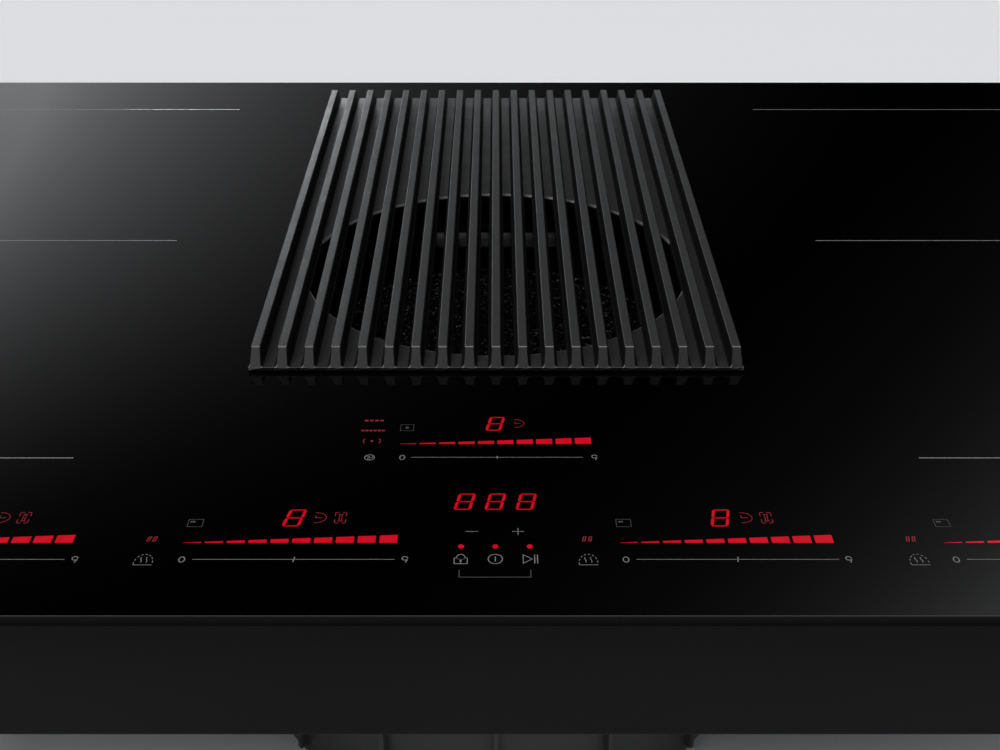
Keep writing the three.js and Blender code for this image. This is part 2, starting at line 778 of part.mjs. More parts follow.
function makeMotor() {
  const z0 = tubWall + seatGap;
  const z1 = z0 + motorFlangeThickness;
  const z2 = z1 + motorHeight;
  let motor = turned([
    [0, z0], [motorFlangeRadius, z0], [motorFlangeRadius, z1], [motorRadius, z1],
    [motorRadius, z2 - 3], [motorRadius - 3, z2], [shaftRadius, z2], [shaftRadius, z2 + shaftLength],
    [0, z2 + shaftLength],
  ]);
  const inner = motorFlangeRadius - motorLugLength * 3 / 7;
  for (let i = 0; i < 3; i += 1) {
    const lug = block(inner, inner + motorLugLength, -motorLugWidth / 2, motorLugWidth / 2, z0, z1);
    motor = join(motor, turnedBy(lug, i * round / 3));
  }
  return motor;
}

// ---------------------------------------------------------------- outlet spigot and flap

const spigotFront = tubRear + seatGap;
const flapWidth = boreWidth - 2 * flapClearance;
const flapHeight = boreHeight - 2 * flapClearance;
const flapPinY = spigotFront + outletFlangeThickness + 4;
const flapPinZ = outletMiddle + flapHeight / 2 - flapPinRadius - 0.6;

function makeSpigot() {
  const flange = roundedRectangle(
    outletWidth + 2 * outletFlange, outletHeight + 2 * outletFlange, outletCorner + 1, 0, outletMiddle);
  const duct = roundedRectangle(outletWidth, outletHeight, outletCorner, 0, outletMiddle);
  const bore = roundedRectangle(boreWidth, boreHeight, outletCorner - outletWall, 0, outletMiddle);
  let spigot = join(
    alongY(flange, spigotFront, spigotFront + outletFlangeThickness),
    alongY(duct, spigotFront, spigotFront + outletReach),
  );
  spigot = cut(spigot, alongY(bore, spigotFront - 1, spigotFront + outletReach + 1));
  // a stop rib that the closed flap leans on, and the two holes of its pin
  const [half, sill] = [outletWidth / 2, outletSill + 1];
  const stopY = flapPinY - flapThickness / 2 - seatGap;
  const stop = block(-half + 1, half - 1, stopY - outletWall, stopY, sill, sill + flapStopHeight);
  const pinHole = circle(flapPinY, flapPinZ, flapPinRadius + seatGap);
  return cut(join(spigot, stop), alongX(pinHole, -half - 1, half + 1, 5));
}

function makeFlap() {
  const [half, y0] = [flapWidth / 2, flapPinY - flapThickness / 2];
  const bottom = flapPinZ - flapHeight + 2 * flapPinRadius + 1;
  const blade = block(-half, half, y0, y0 + flapThickness, bottom, flapPinZ);
  const barrel = circle(flapPinY, flapPinZ, flapPinRadius);
  const pin = alongX(barrel, -outletWidth / 2 + 0.4, outletWidth / 2 - 0.4, 5);
  const stiffeners = [bottom + 3, (bottom + flapPinZ) / 2].map((z) => block(
    -half + 12, half - 12, flapPinY, flapPinY + 2 * flapThickness, z, z + flapThickness));
  return join(blade, pin, ...stiffeners);
}

// ---------------------------------------------------------------- tray

const bayMiddle = (coilDeckInner + trayWidth / 2 - sheet) / 2;
const coolerY = frontEdge + frontOverhang + sheet + coolerSetback + coolerSize / 2;

function intakeGrille(side) {
  const slots = [];
  for (let i = 0; i < intakeSlots; i += 1) {
    const y = (i - (intakeSlots - 1) / 2) * intakeSlotWidth * 1.75;
    const half = Math.sqrt((coolerBore - 2) ** 2 - y ** 2);
    const [x, w] = [side * bayMiddle, intakeSlotWidth / 2];
    slots.push(block(x - half, x + half, coolerY + y - w, coolerY + y + w, trayBottom - 1, trayFloor + 1));
  }
  return slots;
}

function makeTray() {
  const outer = roundedRectangle(trayWidth, trayLength, trayCornerRadius);
  const inner = roundedRectangle(trayWidth - 2 * sheet, trayLength - 2 * sheet, trayCornerRadius - sheet);
  const rim = roundedRectangle(frameOuterWidth, frameOuterDepth, trayCornerRadius + trayFlange);
  let tray = join(prism(outer, trayBottom, trayTop, 0, 1), prism(rim, trayTop - sheet, trayTop, 0, 1));
  tray = cut(tray, prism(inner, trayFloor, trayTop + 1, 0, 1));
  tray = cut(tray, at(disc(collarOuter + slideGap, trayBottom - 1, trayFloor + 1, ventFacets), 0, ventY));
  const louvres = [];
  for (const side of [-1, 1]) {
    for (let i = 0; i < louvreCount; i += 1) {
      const x = side * bayMiddle + (i - (louvreCount - 1) / 2) * louvrePitch;
      const z0 = trayFloor + 12;
      const [half, y1] = [louvreWidth / 2, trayLength / 2];
      louvres.push(block(x - half, x + half, y1 - sheet - 1, y1 + 1, z0, z0 + louvreHeight));
    }
    louvres.push(...intakeGrille(side));
  }
  return cut(tray, ...louvres);
}

// A spring clip on the tray's side wall: flat against the wall, then out and back under the worktop.
function makeClamp(side) {
  const x0 = trayWidth / 2 + seatGap;
  const [z1, nose] = [trayTop - sheet - clampDrop, x0 + clampReach];
  const [z0, landTop] = [z1 - clampHeight, z1 - 7];
  const profile = polygon([
    [x0, z0], [x0 + sheet, z0 + 0.6], [nose, landTop - clampLand], [nose, landTop],
    [x0 + sheet, z1 - 4], [x0 + sheet, z1], [x0, z1],
  ].map(([x, z]) => [side * x, z]));
  return alongY(profile, -clampWidth / 2, clampWidth / 2);
}

// ---------------------------------------------------------------- coils

const coilTop = glassBottom - coilUnderGlass;
const coilBottom = coilTop - coilWireHeight;
const ferriteTop = coilBottom - seatGap;
const carrierTop = ferriteTop - ferriteHeight;
const carrierBottom = carrierTop - carrierThickness;
const coilDeckTop = carrierBottom - seatGap;
const coilCentreX = coilInnerEdge + coilWidth / 2;
const coilRearY = rearEdge - zoneRearSetback - coilPitchY / 2;
const coilFrontY = coilRearY - coilPitchY;
const coilMiddleY = (coilFrontY + coilRearY) / 2;
const deckReach = coilPitchY + coilDeckOverlap;

// The winding is one flat spiral of litz whose turns are rounded rectangles.
class WindingPath extends THREE.Curve {
  getPoint(t) {
    const turns = coilTurns * t;
    const angle = turns * round;
    const inward = coilTurnPitch * (coilTurns - turns);
    const [a, b] = [(coilWidth - coilWireWidth) / 2 - inward, (coilDepth - coilWireWidth) / 2 - inward];
    const power = 3.2;
    const [c, s] = [Math.cos(angle), Math.sin(angle)];
    const reach = (Math.abs(c) ** power + Math.abs(s) ** power) ** (-1 / power);
    return new THREE.Vector3(a * c * reach, b * s * reach, coilBottom + coilWireHeight / 2);
  }
}

function makeWinding() {
  const [h, w] = [coilWireHeight / 2, coilWireWidth / 2];
  const section = polygon([[-h, -w], [h, -w], [h, w], [-h, w]]);
  const path = new WindingPath();
  const settings = { steps: coilTurns * 10, extrudePath: path, bevelEnabled: false };
  return solidOf(new THREE.ExtrudeGeometry(section, settings));
}

function makeCoilCarrier() {
  const plate = prism(roundedRectangle(coilWidth, coilDepth, 22), carrierBottom, carrierTop, 0, 1);
  const bars = [];
  const bar = (x, y, w, d) =>
    block(x - w / 2, x + w / 2, y - d / 2, y + d / 2, carrierTop - 0.5, ferriteTop);
  const endX = coilWidth / 2 - ferriteLength / 2 - ferriteInset;
  const endY = coilDepth / 2 - ferriteLength / 2 - ferriteInset;
  for (const side of [-1, 1]) {
    bars.push(bar(side * endX, 0, ferriteLength, ferriteWidth));
    for (const i of [-1, 1]) bars.push(bar(i * ferriteWidth * 2, side * endY, ferriteWidth, ferriteLength));
  }
  return cut(join(plate, ...bars), disc(sensorRadius + 2, carrierBottom - 1, ferriteTop + 1, smallFacets));
}

function makeSensor() {
  return turned([
    [0, coilDeckTop + seatGap], [sensorRadius - 3, coilDeckTop + seatGap], [sensorRadius - 3, coilTop - 3],
    [sensorRadius, coilTop - 1], [sensorRadius, glassBottom - seatGap], [0, glassBottom - seatGap],
  ], 8);
}

// A folded aluminium bridge: its top carries two coils and its two edges stand on the tray floor.
function makeCoilDeck() {
  const [x0, x1] = [coilDeckInner, trayWidth / 2 - sheet - seatGap * 2];
  const half = (x1 - x0) / 2;
  const [z0, z1, reach] = [trayFloor + seatGap, coilDeckTop, deckReach];
  const sideView = polygon([
    [-reach, z0], [-reach + sheet, z0], [-reach + sheet, z1 - sheet], [reach - sheet, z1 - sheet],
    [reach - sheet, z0], [reach, z0], [reach, z1], [-reach, z1],
  ]);
  const airZ = (z0 + z1) / 2 - deckWindowCorner;
  let deck = alongX(sideView, -half, half);
  for (const y of [-1, 1]) {
    const cy = y * coilPitchY / 2;
    const slot = roundedRectangle(deckWindowLength, deckWindowWidth, deckWindowCorner, 0, cy);
    deck = cut(deck, prism(slot, z1 - sheet - 1, z1 + 1, 0, 1));
    const air = roundedRectangle(deckWindowLength, deckWindowWidth, deckWindowCorner, 0, airZ);
    deck = cut(deck, alongY(air, y * reach - 3, y * reach + 3, 1));
  }
  return deck;
}

// ---------------------------------------------------------------- electronics and cooling

const boardBottom = trayFloor + boardStandoff;
const boardTop = boardBottom + boardThickness;
const boardFront = coolerY + coolerSize / 2 + boardFrontGap;
const boardLength = coilMiddleY + deckReach - sheet - boardRearGap - boardFront;
const boardY = boardFront + boardLength / 2;
const heatSinkLength = boardLength - 2 * heatSinkEndGap;

// The heat sink covers the middle of the board. Capacitors and coils stand beside it, on the side
// of the vent, and the small parts stand at the two ends.
function makePowerBoard(side) {
  const [w, l] = [boardWidth / 2, boardLength / 2];
  const parts = [block(-w, w, -l, l, boardBottom, boardTop)];
  const footInset = 8;
  for (const [sx, sy] of cornerSigns) {
    const foot = disc(footInset / 2, trayFloor + seatGap, boardBottom + 0.5, 6);
    parts.push(at(foot, sx * (w - footInset), sy * (l - footInset)));
  }
  const lane = -side * (w + heatSinkWidth / 2) / 2;
  const root = boardTop - 0.5;
  const column = (x, y, r, h) => at(disc(r, root, boardTop + h, smallFacets), x, y);
  const box = (x, y, a, b, h) => block(x - a / 2, x + a / 2, y - b / 2, y + b / 2, root, boardTop + h);
  const [d, h] = [2 * capacitorRadius, capacitorHeight];
  for (const end of [-1, 1]) {
    parts.push(column(lane, end * (d + d / 2), capacitorRadius, h));
    parts.push(box(lane, end * (l - h), d, d * 0.7, h * 0.8));
    parts.push(box(-lane * 0.9, end * (l - heatSinkEndGap / 2), d, d * 0.4, h * 0.4));
  }
  parts.push(box(lane, 0, d * 0.9, d, h * 0.9));
  parts.push(column(0, l - heatSinkEndGap / 2, capacitorRadius * 0.7, h * 0.9));
  return join(...parts);
}

function makeHeatSink() {
  const pitch = (heatSinkWidth - heatSinkFinThickness) / (heatSinkFins - 1);
  const half = heatSinkWidth / 2;
  const z0 = boardTop + seatGap;
  const points = [[-half, z0], [half, z0]];
  for (let i = heatSinkFins - 1; i >= 0; i -= 1) {
    const x = -half + i * pitch;
    points.push([x + heatSinkFinThickness, z0 + heatSinkHeight], [x, z0 + heatSinkHeight]);
    if (i > 0) points.push([x, z0 + heatSinkBase], [x - pitch + heatSinkFinThickness, z0 + heatSinkBase]);
  }
  return alongY(polygon(points), -heatSinkLength / 2, heatSinkLength / 2);
}

const coolerBottom = trayFloor + seatGap;

function makeCoolerFrame() {
  const z1 = coolerBottom + coolerHeight;
  let frame = prism(roundedRectangle(coolerSize, coolerSize, 5), coolerBottom, z1, 0, 1);
  frame = cut(frame, disc(coolerBore, coolerBottom - 1, z1 + 1));
  const hub = disc(coolerHub, coolerBottom, coolerBottom + 3, smallFacets);
  const pin = disc(coolerPinRadius, coolerBottom, coolerBottom + 14, smallFacets);
  const struts = [0, 1, 2].map((i) => {
    const strut = block(coolerHub - 2, coolerBore + 1, -2, 2, coolerBottom, coolerBottom + 3);
    return turnedBy(strut, i * round / 3 + 0.4);
  });
  return join(frame, hub, pin, ...struts);
}

function makeCoolerRotor() {
  const z0 = coolerBottom + 4;
  const z1 = coolerBottom + coolerHeight - 1.5;
  const bore = coolerPinRadius + shaftClearance + 0.1;
  let rotor = turned([
    [0, z1], [0, z0 + 13], [bore, z0 + 13], [bore, z0 + 2], [coolerHub, z0 + 2], [coolerHub, z1], [0, z1],
  ], 12);
  const halfChord = coolerBladeChord / 2 * Math.sin(coolerBladeTilt) + coolerBladeThickness / 2;
  const bladeLength = Math.sqrt((coolerBore - coolerTipGap) ** 2 - halfChord ** 2) - coolerHub + 1;
  for (let i = 0; i < coolerBladeCount; i += 1) {
    const blade = new THREE.BoxGeometry(bladeLength, coolerBladeThickness, coolerBladeChord);
    blade.rotateX(coolerBladeTilt).translate(coolerHub - 1 + bladeLength / 2, 0, (z0 + z1) / 2);
    rotor = join(rotor, turnedBy(solidOf(blade), i * round / coolerBladeCount));
  }
  return rotor;
}

// ---------------------------------------------------------------- touch controls

const touchBoardTop = glassBottom - touchBoardDrop;
const touchY = frontEdge + touchSetback + touchDepth / 2;
const ventBoardY = frontEdge + ventBoardSetback + ventBoardDepth / 2;

// Both boards carry light guides that reach up to the glass under the digits and the ramp.
function lightGuide(x, y, width, depth) {
  const z0 = touchBoardTop - 0.5;
  return block(x - width / 2, x + width / 2, y - depth / 2, y + depth / 2, z0, glassBottom - seatGap);
}

function makeTouchBoard() {
  const [half, depth, z1] = [touchLength / 2, touchDepth / 2, touchBoardTop];
  const [left, right] = [leftSliderDigit, rightSliderDigit];
  const sliders = [left - sliderPitch, left, right, right + sliderPitch];
  return join(
    block(-half, half, -depth, depth, z1 - boardThickness, z1),
    ...sliders.map((x) => lightGuide(x, 0, sliderDisplay, displayDepth)),
    lightGuide(0, 0, timerDisplay, displayDepth),
  );
}

function makeVentBoard() {
  const [half, depth, z1] = [ventBoardLength / 2, ventBoardDepth / 2, touchBoardTop];
  return join(
    block(-half, half, -depth, depth, z1 - boardThickness, z1),
    lightGuide(0, -ventRampDepth, ventRamp, ventRampDepth),
    lightGuide(0, displayDepth - ventRampDepth, displayDepth, displayDepth),
  );
}

// The carrier is a shallow moulded tray under the touch board, with two arms to the vent's board.
function makeTouchCarrier() {
  const z1 = touchBoardTop - boardThickness - seatGap;
  const z0 = z1 - carrierDepth;
  const [half, depth, wall] = [touchLength / 2, touchDepth / 2, carrierWall];
  const hollow = block(-half + wall, half - wall, -depth + wall, depth - wall, z0 + wall, z1 + 1);
  const tray = cut(block(-half, half, -depth, depth, z0, z1), hollow);
  const armEnd = ventBoardY - touchY + ventBoardDepth / 2;
  const armX = (ventBoardLength - carrierArm - 2 * wall) / 2;
  const legX = half - carrierLegInset;
  const arms = [-1, 1].map((side) => block(
    side * armX - carrierArm / 2, side * armX + carrierArm / 2, depth - 1, armEnd, z0, z1));
  const leg = (x, y) => block(
    x - carrierLeg / 2, x + carrierLeg / 2, y, y + carrierLeg * 0.4, trayFloor + seatGap, z0 + 1);
  const legs = [-1, 1].flatMap((side) => [
    leg(side * legX, -depth), leg(side * armX, armEnd - carrierLeg * 0.4),
  ]);
  return join(tray, ...arms, ...legs);
}

// ---------------------------------------------------------------- supply terminals

const terminalX = -(tubHalfWidth + tubRimWidth + terminalFromTub + terminalLength / 2);
const terminalY = rearEdge - frontOverhang - terminalDepth / 2 - terminalSetback;
const terminalTop = trayBottom - seatGap;
const terminalBottom = terminalTop - terminalHeight;
const glandZ = (terminalTop + terminalBottom) / 2;

function makeTerminalBox() {
  const box = prism(roundedRectangle(terminalLength, terminalDepth, 5), terminalBottom, terminalTop);
  const inside = roundedRectangle(terminalLength - 2 * terminalWall, terminalDepth - 2 * terminalWall, 3);
  const hole = circle(0, glandZ, glandRadius - 2 + seatGap);
  const [half, depth] = [terminalStripLength / 2, terminalStripDepth / 2];
  const strip = block(-half, half, -depth, depth, terminalTop - terminalStripDepth, terminalTop - 1);
  const shell = cut(
    box,
    prism(inside, terminalBottom - 1, terminalTop - terminalWall),
    alongY(hole, terminalDepth / 2 - terminalWall - 1, terminalDepth / 2 + 1, 6),
  );
  return join(shell, strip);
}

function makeTerminalCover() {
  const plate = prism(roundedRectangle(terminalLength, terminalDepth, 5), -terminalWall, 0, 0.6, 1);
  const inside = roundedRectangle(
    terminalLength - 2 * terminalWall - 1, terminalDepth - 2 * terminalWall - 1, 2.5);
  const lip = cut(
    prism(inside, -0.5, 4, 0, 1),
    prism(roundedRectangle(terminalLength - 10, terminalDepth - 10, 2), 0, 5, 0, 1),
  );
  return join(plate, lip);
}

function makeGland() {
  const hexagon = new THREE.Shape();
  for (let i = 0; i < 6; i += 1) {
    const p = [glandRadius * Math.cos(i * round / 6), glandRadius * Math.sin(i * round / 6)];
    if (i === 0) hexagon.moveTo(...p);
    else hexagon.lineTo(...p);
  }
  const y0 = seatGap;
  const body = join(
    alongY(circle(0, 0, glandRadius - 2), -terminalWall - 5, y0 + 1, 6),
    alongY(hexagon, y0, y0 + 5),
    alongY(circle(0, 0, glandRadius - 1), y0 + 4, y0 + glandLength * 0.5, 6),
  );
  return cut(body, alongY(circle(0, 0, glandRadius - 5), -terminalWall - 6, glandLength, 6));
}

// ---------------------------------------------------------------- put together

place(top, 'glass_top', makeGlass(), glassBlack);
place(top, 'glass_seal', makeSeal(), foam);
place(top, 'glass_frame', makeFrame(), aluminium);
place(top, 'vent_grille', makeGrille(), castBlack);
cornerSigns.forEach(([sx, sy], i) => {
  place(top, `grille_pad_${cornerNames[i]}`, makePad(), silicone, sx * padX, grilleMiddle + sy * padY);
});

place(vent, 'filter_basket', makeBasket(), glossBlack);
place(vent, 'grease_filter', makeGreaseFilter(), aluminium);
place(vent, 'drip_cup', makeCup(), greyPlastic);
place(vent, 'intake_collar', makeCollar(), glossBlack);
place(vent, 'collar_seal', makeLipSeal(), silicone);

place(cooktop, 'blower_tub', makeTub(), mattBlack);
place(cooktop, 'intake_deck', makeDeck(), mattBlack);
place(cooktop, 'suction_chamber', makeChamber(), mattBlack);
place(blower, 'impeller', makeImpeller(), greyPlastic);
place(blower, 'blower_motor', makeMotor(), steel);
place(cooktop, 'outlet_spigot', makeSpigot(), mattBlack);
place(cooktop, 'outlet_flap', makeFlap(), greyPlastic);

place(trayGroup, 'base_tray', makeTray(), blackSheet);
for (const [side, name] of [[-1, 'left'], [1, 'right']]) {
  for (const [y, end] of [[-1, 'front'], [1, 'rear']]) {
    place(trayGroup, `worktop_clamp_${end}_${name}`, makeClamp(side), steel, 0, y * trayLength / 4);
  }
  const middle = side * (coilDeckInner + trayWidth / 2 - sheet - 2 * seatGap) / 2;
  const coilX = side * coilCentreX;
  place(trayGroup, `coil_deck_${name}`, makeCoilDeck(), aluminium, middle, coilMiddleY);
  for (const [y, end] of [[coilFrontY, 'front'], [coilRearY, 'rear']]) {
    place(trayGroup, `coil_carrier_${end}_${name}`, makeCoilCarrier(), aluminium, coilX, y);
    place(trayGroup, `coil_winding_${end}_${name}`, makeWinding(), copper, coilX, y);
    place(trayGroup, `coil_sensor_${end}_${name}`, makeSensor(), steel, coilX, y);
  }
  const bayX = side * bayMiddle;
  place(trayGroup, `power_board_${name}`, makePowerBoard(side), boardGreen, bayX, boardY);
  place(trayGroup, `heat_sink_${name}`, makeHeatSink(), aluminium, bayX, boardY);
  place(trayGroup, `cooler_frame_${name}`, makeCoolerFrame(), mattBlack, bayX, coolerY);
  place(trayGroup, `cooler_rotor_${name}`, makeCoolerRotor(), mattBlack, bayX, coolerY);
}
place(trayGroup, 'touch_board', makeTouchBoard(), boardGreen, 0, touchY);
place(trayGroup, 'touch_carrier', makeTouchCarrier(), mattBlack, 0, touchY);
place(trayGroup, 'vent_board', makeVentBoard(), boardGreen, 0, ventBoardY);
place(trayGroup, 'terminal_box', makeTerminalBox(), mattBlack, terminalX, terminalY);
place(
  trayGroup, 'terminal_cover', makeTerminalCover(), mattBlack,
  terminalX, terminalY, terminalBottom - seatGap);
place(trayGroup, 'cable_gland', makeGland(), mattBlack, terminalX, terminalY + terminalDepth / 2, glandZ);

export default cooktop;
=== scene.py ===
# Looks of a downdraft induction cooktop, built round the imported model. +Z up, front at -Y.
# Shapes are drawn in millimetres and brought to metres by piece(); the stage is in metres.
import json
import math
import random

import bmesh
import bpy
from mathutils import Matrix, Vector


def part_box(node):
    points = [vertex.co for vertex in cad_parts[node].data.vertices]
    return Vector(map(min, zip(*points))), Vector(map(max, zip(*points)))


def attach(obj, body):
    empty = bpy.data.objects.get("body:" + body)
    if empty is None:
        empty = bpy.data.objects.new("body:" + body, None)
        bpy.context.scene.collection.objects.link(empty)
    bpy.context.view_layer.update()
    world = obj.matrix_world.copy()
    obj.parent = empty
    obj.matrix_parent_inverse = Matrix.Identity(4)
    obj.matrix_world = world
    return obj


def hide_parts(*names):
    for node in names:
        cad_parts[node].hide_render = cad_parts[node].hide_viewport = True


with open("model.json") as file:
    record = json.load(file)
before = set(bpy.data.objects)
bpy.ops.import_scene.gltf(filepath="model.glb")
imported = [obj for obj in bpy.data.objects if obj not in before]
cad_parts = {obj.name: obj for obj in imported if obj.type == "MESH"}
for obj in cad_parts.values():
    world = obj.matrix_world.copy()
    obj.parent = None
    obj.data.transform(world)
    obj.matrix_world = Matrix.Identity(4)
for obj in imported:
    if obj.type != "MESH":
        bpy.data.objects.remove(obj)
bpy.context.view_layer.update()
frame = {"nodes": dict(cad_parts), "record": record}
mm = 0.001
print("model loaded:", len(frame["nodes"]), "nodes")


def box(node):
    low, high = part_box(node)
    return low / mm, high / mm


glassLow, glassHigh = box("glass_top")
grilleLow, grilleHigh = box("vent_grille")
basketLow, basketHigh = box("filter_basket")
filterLow, filterHigh = box("grease_filter")
deckLow, deckHigh = box("intake_deck")
chamberLow, chamberHigh = box("suction_chamber")
tubHigh = box("blower_tub")[1]
ventY = (basketLow.y + basketHigh.y) / 2
blowerY = glassHigh.y - 138
glassTop = glassHigh.z
glassFront = glassLow.y


def plug(node, inputs):  # sockets are linked, plain values are set
    for key, value in inputs.items():
        if isinstance(value, bpy.types.NodeSocket):
            node.id_data.links.new(value, node.inputs[key])
        else:
            node.inputs[key].default_value = value


def newNode(tree, kind, inputs=None, **settings):
    node = tree.nodes.new("ShaderNode" + kind)
    for key, value in settings.items():
        setattr(node, key, value)
    plug(node, inputs or {})
    return node.outputs


def newMaterial(name, color, roughness, metallic=0.0, specular=0.5):
    material = bpy.data.materials.new(name)
    material.use_nodes = True
    dressed(material, {
        "Base Color": (*color, 1), "Roughness": roughness, "Metallic": metallic, "Specular IOR Level": specular})
    return material, newNode(material.node_tree, "TexCoord")["Object"]


def dressed(material, inputs):
    plug(material.node_tree.nodes["Principled BSDF"], inputs)
    return material


def stretched(point, scale):
    return newNode(point.id_data, "Mapping", {"Vector": point, "Scale": scale})["Vector"]


def noise(point, scale, detail=2.0, roughness=0.5):
    inputs = {"Vector": point, "Scale": scale, "Detail": detail, "Roughness": roughness}
    return newNode(point.id_data, "TexNoise", inputs)["Fac"]


def spread(value, low, high, start=0.0, end=1.0):
    inputs = {"Value": value, "From Min": start, "From Max": end, "To Min": low, "To Max": high}
    return newNode(value.id_data, "MapRange", inputs)["Result"]


def tint(value, dark, light):
    inputs = {"Factor": value, "A": (*dark, 1), "B": (*light, 1)}
    return newNode(value.id_data, "Mix", inputs, data_type="RGBA")["Result"]


def bump(height, distance, strength):
    inputs = {"Height": height, "Distance": distance, "Strength": strength}
    return newNode(height.id_data, "Bump", inputs)["Normal"]


def glassFinish():
    material, point = newMaterial("blackGlass", (0.0006, 0.0006, 0.0007), 0.03, 0, 0.3)
    grain = noise(point, 2600, 1)
    return dressed(material, {
        "Base Color": tint(grain, (0.0002, 0.0002, 0.0003), (0.0006, 0.0006, 0.0007)),
        "Roughness": spread(noise(point, 9, 3), 0.022, 0.045)})


# A ground glass edge whose colour also carries painted light: paler towards the top, darker lower down.
def groundEdgeFinish(name, low, high, roughness, depth=3.6):
    material, point = newMaterial(name, (high, high, high), roughness, 0, 0.02)
    grain = noise(point, 1800, 2)
    height = newNode(point.id_data, "SeparateXYZ", {"Vector": point})["Z"]
    rise = spread(height, 0, 0.85, (glassTop - depth) * mm, glassTop * mm)  # painted light: paler towards the top, darker towards the bottom
    shade = newNode(point.id_data, "Math", {0: grain, 1: 0.2, 2: rise}, operation="MULTIPLY_ADD")["Value"]
    return dressed(material, {
        "Base Color": tint(shade, (low, low, low * 1.05), (high, high, high * 1.02)),
        "Roughness": spread(grain, roughness - 0.08, roughness + 0.08),
        "Normal": bump(grain, 0.00002, 0.4)})


def castFinish(name, dark, light, smooth, rough, specular=0.5):
    material, point = newMaterial(name, (light, light, light), rough, 0, specular)
    fine = noise(point, 1500, 3, 0.65)
    shade = spread(fine, 0, 1, 0.3, 0.72)
    return dressed(material, {
        "Base Color": tint(shade, (dark, dark, dark * 1.03), (light, light * 0.985, light)),
        "Roughness": spread(noise(point, 60, 3), smooth, rough, 0.3, 0.7),
        "Normal": bump(fine, 0.00012, 0.55)})


def glossBlackFinish():
    material, point = newMaterial("glossBlack", (0.007, 0.007, 0.0075), 0.16)
    return dressed(material, {
        "Roughness": spread(noise(point, 45, 2), 0.13, 0.2),
        "Normal": bump(noise(point, 700, 1), 0.00002, 0.4)})


def mouldedFinish(name, dark, light, roughness, specular=0.5):
    material, point = newMaterial(name, light, roughness, 0, specular)
    fine = noise(point, 1100, 2, 0.6)
    return dressed(material, {
        "Base Color": tint(noise(point, 14, 2), dark, light),
        "Roughness": spread(fine, roughness - 0.07, roughness + 0.08),
        "Normal": bump(fine, 0.00008, 0.5)})


def sheetFinish():
    material, point = newMaterial("blackSheet", (0.005, 0.005, 0.0052), 0.5, 0, 0.08)
    peel = noise(point, 520, 2, 0.55)
    return dressed(material, {
        "Base Color": tint(noise(point, 7, 2), (0.003, 0.003, 0.0033), (0.0055, 0.0055, 0.006)),
        "Roughness": spread(peel, 0.42, 0.56),
        "Normal": bump(peel, 0.00006, 0.5)})


def rolledFinish(name, dark, light, roughness):
    material, point = newMaterial(name, light, roughness, 1)
    streak = noise(stretched(point, (1, 30, 1)), 60, 4, 0.6)
    return dressed(material, {
        "Base Color": tint(streak, dark, light),
        "Roughness": spread(streak, roughness - 0.08, roughness + 0.1),
        "Normal": bump(streak, 0.00003, 0.35)})


# The filter's metal is painted: a dark base as painted shade in the cavity, bright specks as painted glints.
def filterFinish():
    material, point = newMaterial("filterShadeAndGlints", (0.4, 0.4, 0.42), 0.3, 0.5)
    glintSpots = spread(noise(point, 560, 1), 0, 1, 0.6, 0.69)  # painted glints: bright specks on a mesh darkened by painted shade
    return dressed(material, {
        "Base Color": tint(glintSpots, (0.014, 0.014, 0.015), (0.62, 0.59, 0.54)),
        "Metallic": spread(glintSpots, 0.6, 0.0),
        "Roughness": spread(noise(point, 420, 2), 0.24, 0.45)})


def copperFinish():
    material, point = newMaterial("copperLitz", (0.55, 0.24, 0.11), 0.38, 0.9)
    twist = noise(stretched(point, (1, 1, 4)), 900, 2)
    return dressed(material, {
        "Base Color": tint(twist, (0.34, 0.13, 0.05), (0.66, 0.31, 0.15)),
        "Normal": bump(twist, 0.0002, 0.7)})


def boardFinish():
    material, point = newMaterial("circuitBoard", (0.02, 0.1, 0.05), 0.4)
    tracks = newNode(point.id_data, "TexBrick", {
        "Vector": point, "Color1": (0.016, 0.095, 0.045, 1), "Color2": (0.024, 0.12, 0.06, 1),
        "Mortar": (0.045, 0.19, 0.09, 1), "Scale": 90, "Mortar Size": 0.035})
    return dressed(material, {
        "Base Color": tracks["Color"],
        "Roughness": spread(noise(point, 300, 2), 0.32, 0.5),
        "Normal": bump(tracks["Fac"], 0.00004, 0.6)})


def rubberFinish(name, dark, light, scale, depth):
    material, point = newMaterial(name, light, 0.8, 0, 0.3)
    pits = newNode(point.id_data, "TexVoronoi", {"Vector": point, "Scale": scale})["Distance"]
    return dressed(material, {"Base Color": tint(pits, dark, light), "Normal": bump(pits, depth, 0.7)})


def inkFinish(name, tone):
    material, point = newMaterial(name, (tone, tone, tone * 1.01), 0.35)
    grain = noise(point, 2200, 1)
    low, high = tone * 0.88, tone * 1.14
    return dressed(material, {"Base Color": tint(grain, (low, low, low), (high, high, high * 1.01))})


def lampFinish(name, dark, bright):
    material, point = newMaterial(name, (0.01, 0.0, 0.0), 0.08)
    glow = spread(noise(point, 260, 1), 0, 1, 0.25, 0.6)
    return dressed(material, {"Emission Color": tint(glow, dark, bright), "Emission Strength": 1.0})


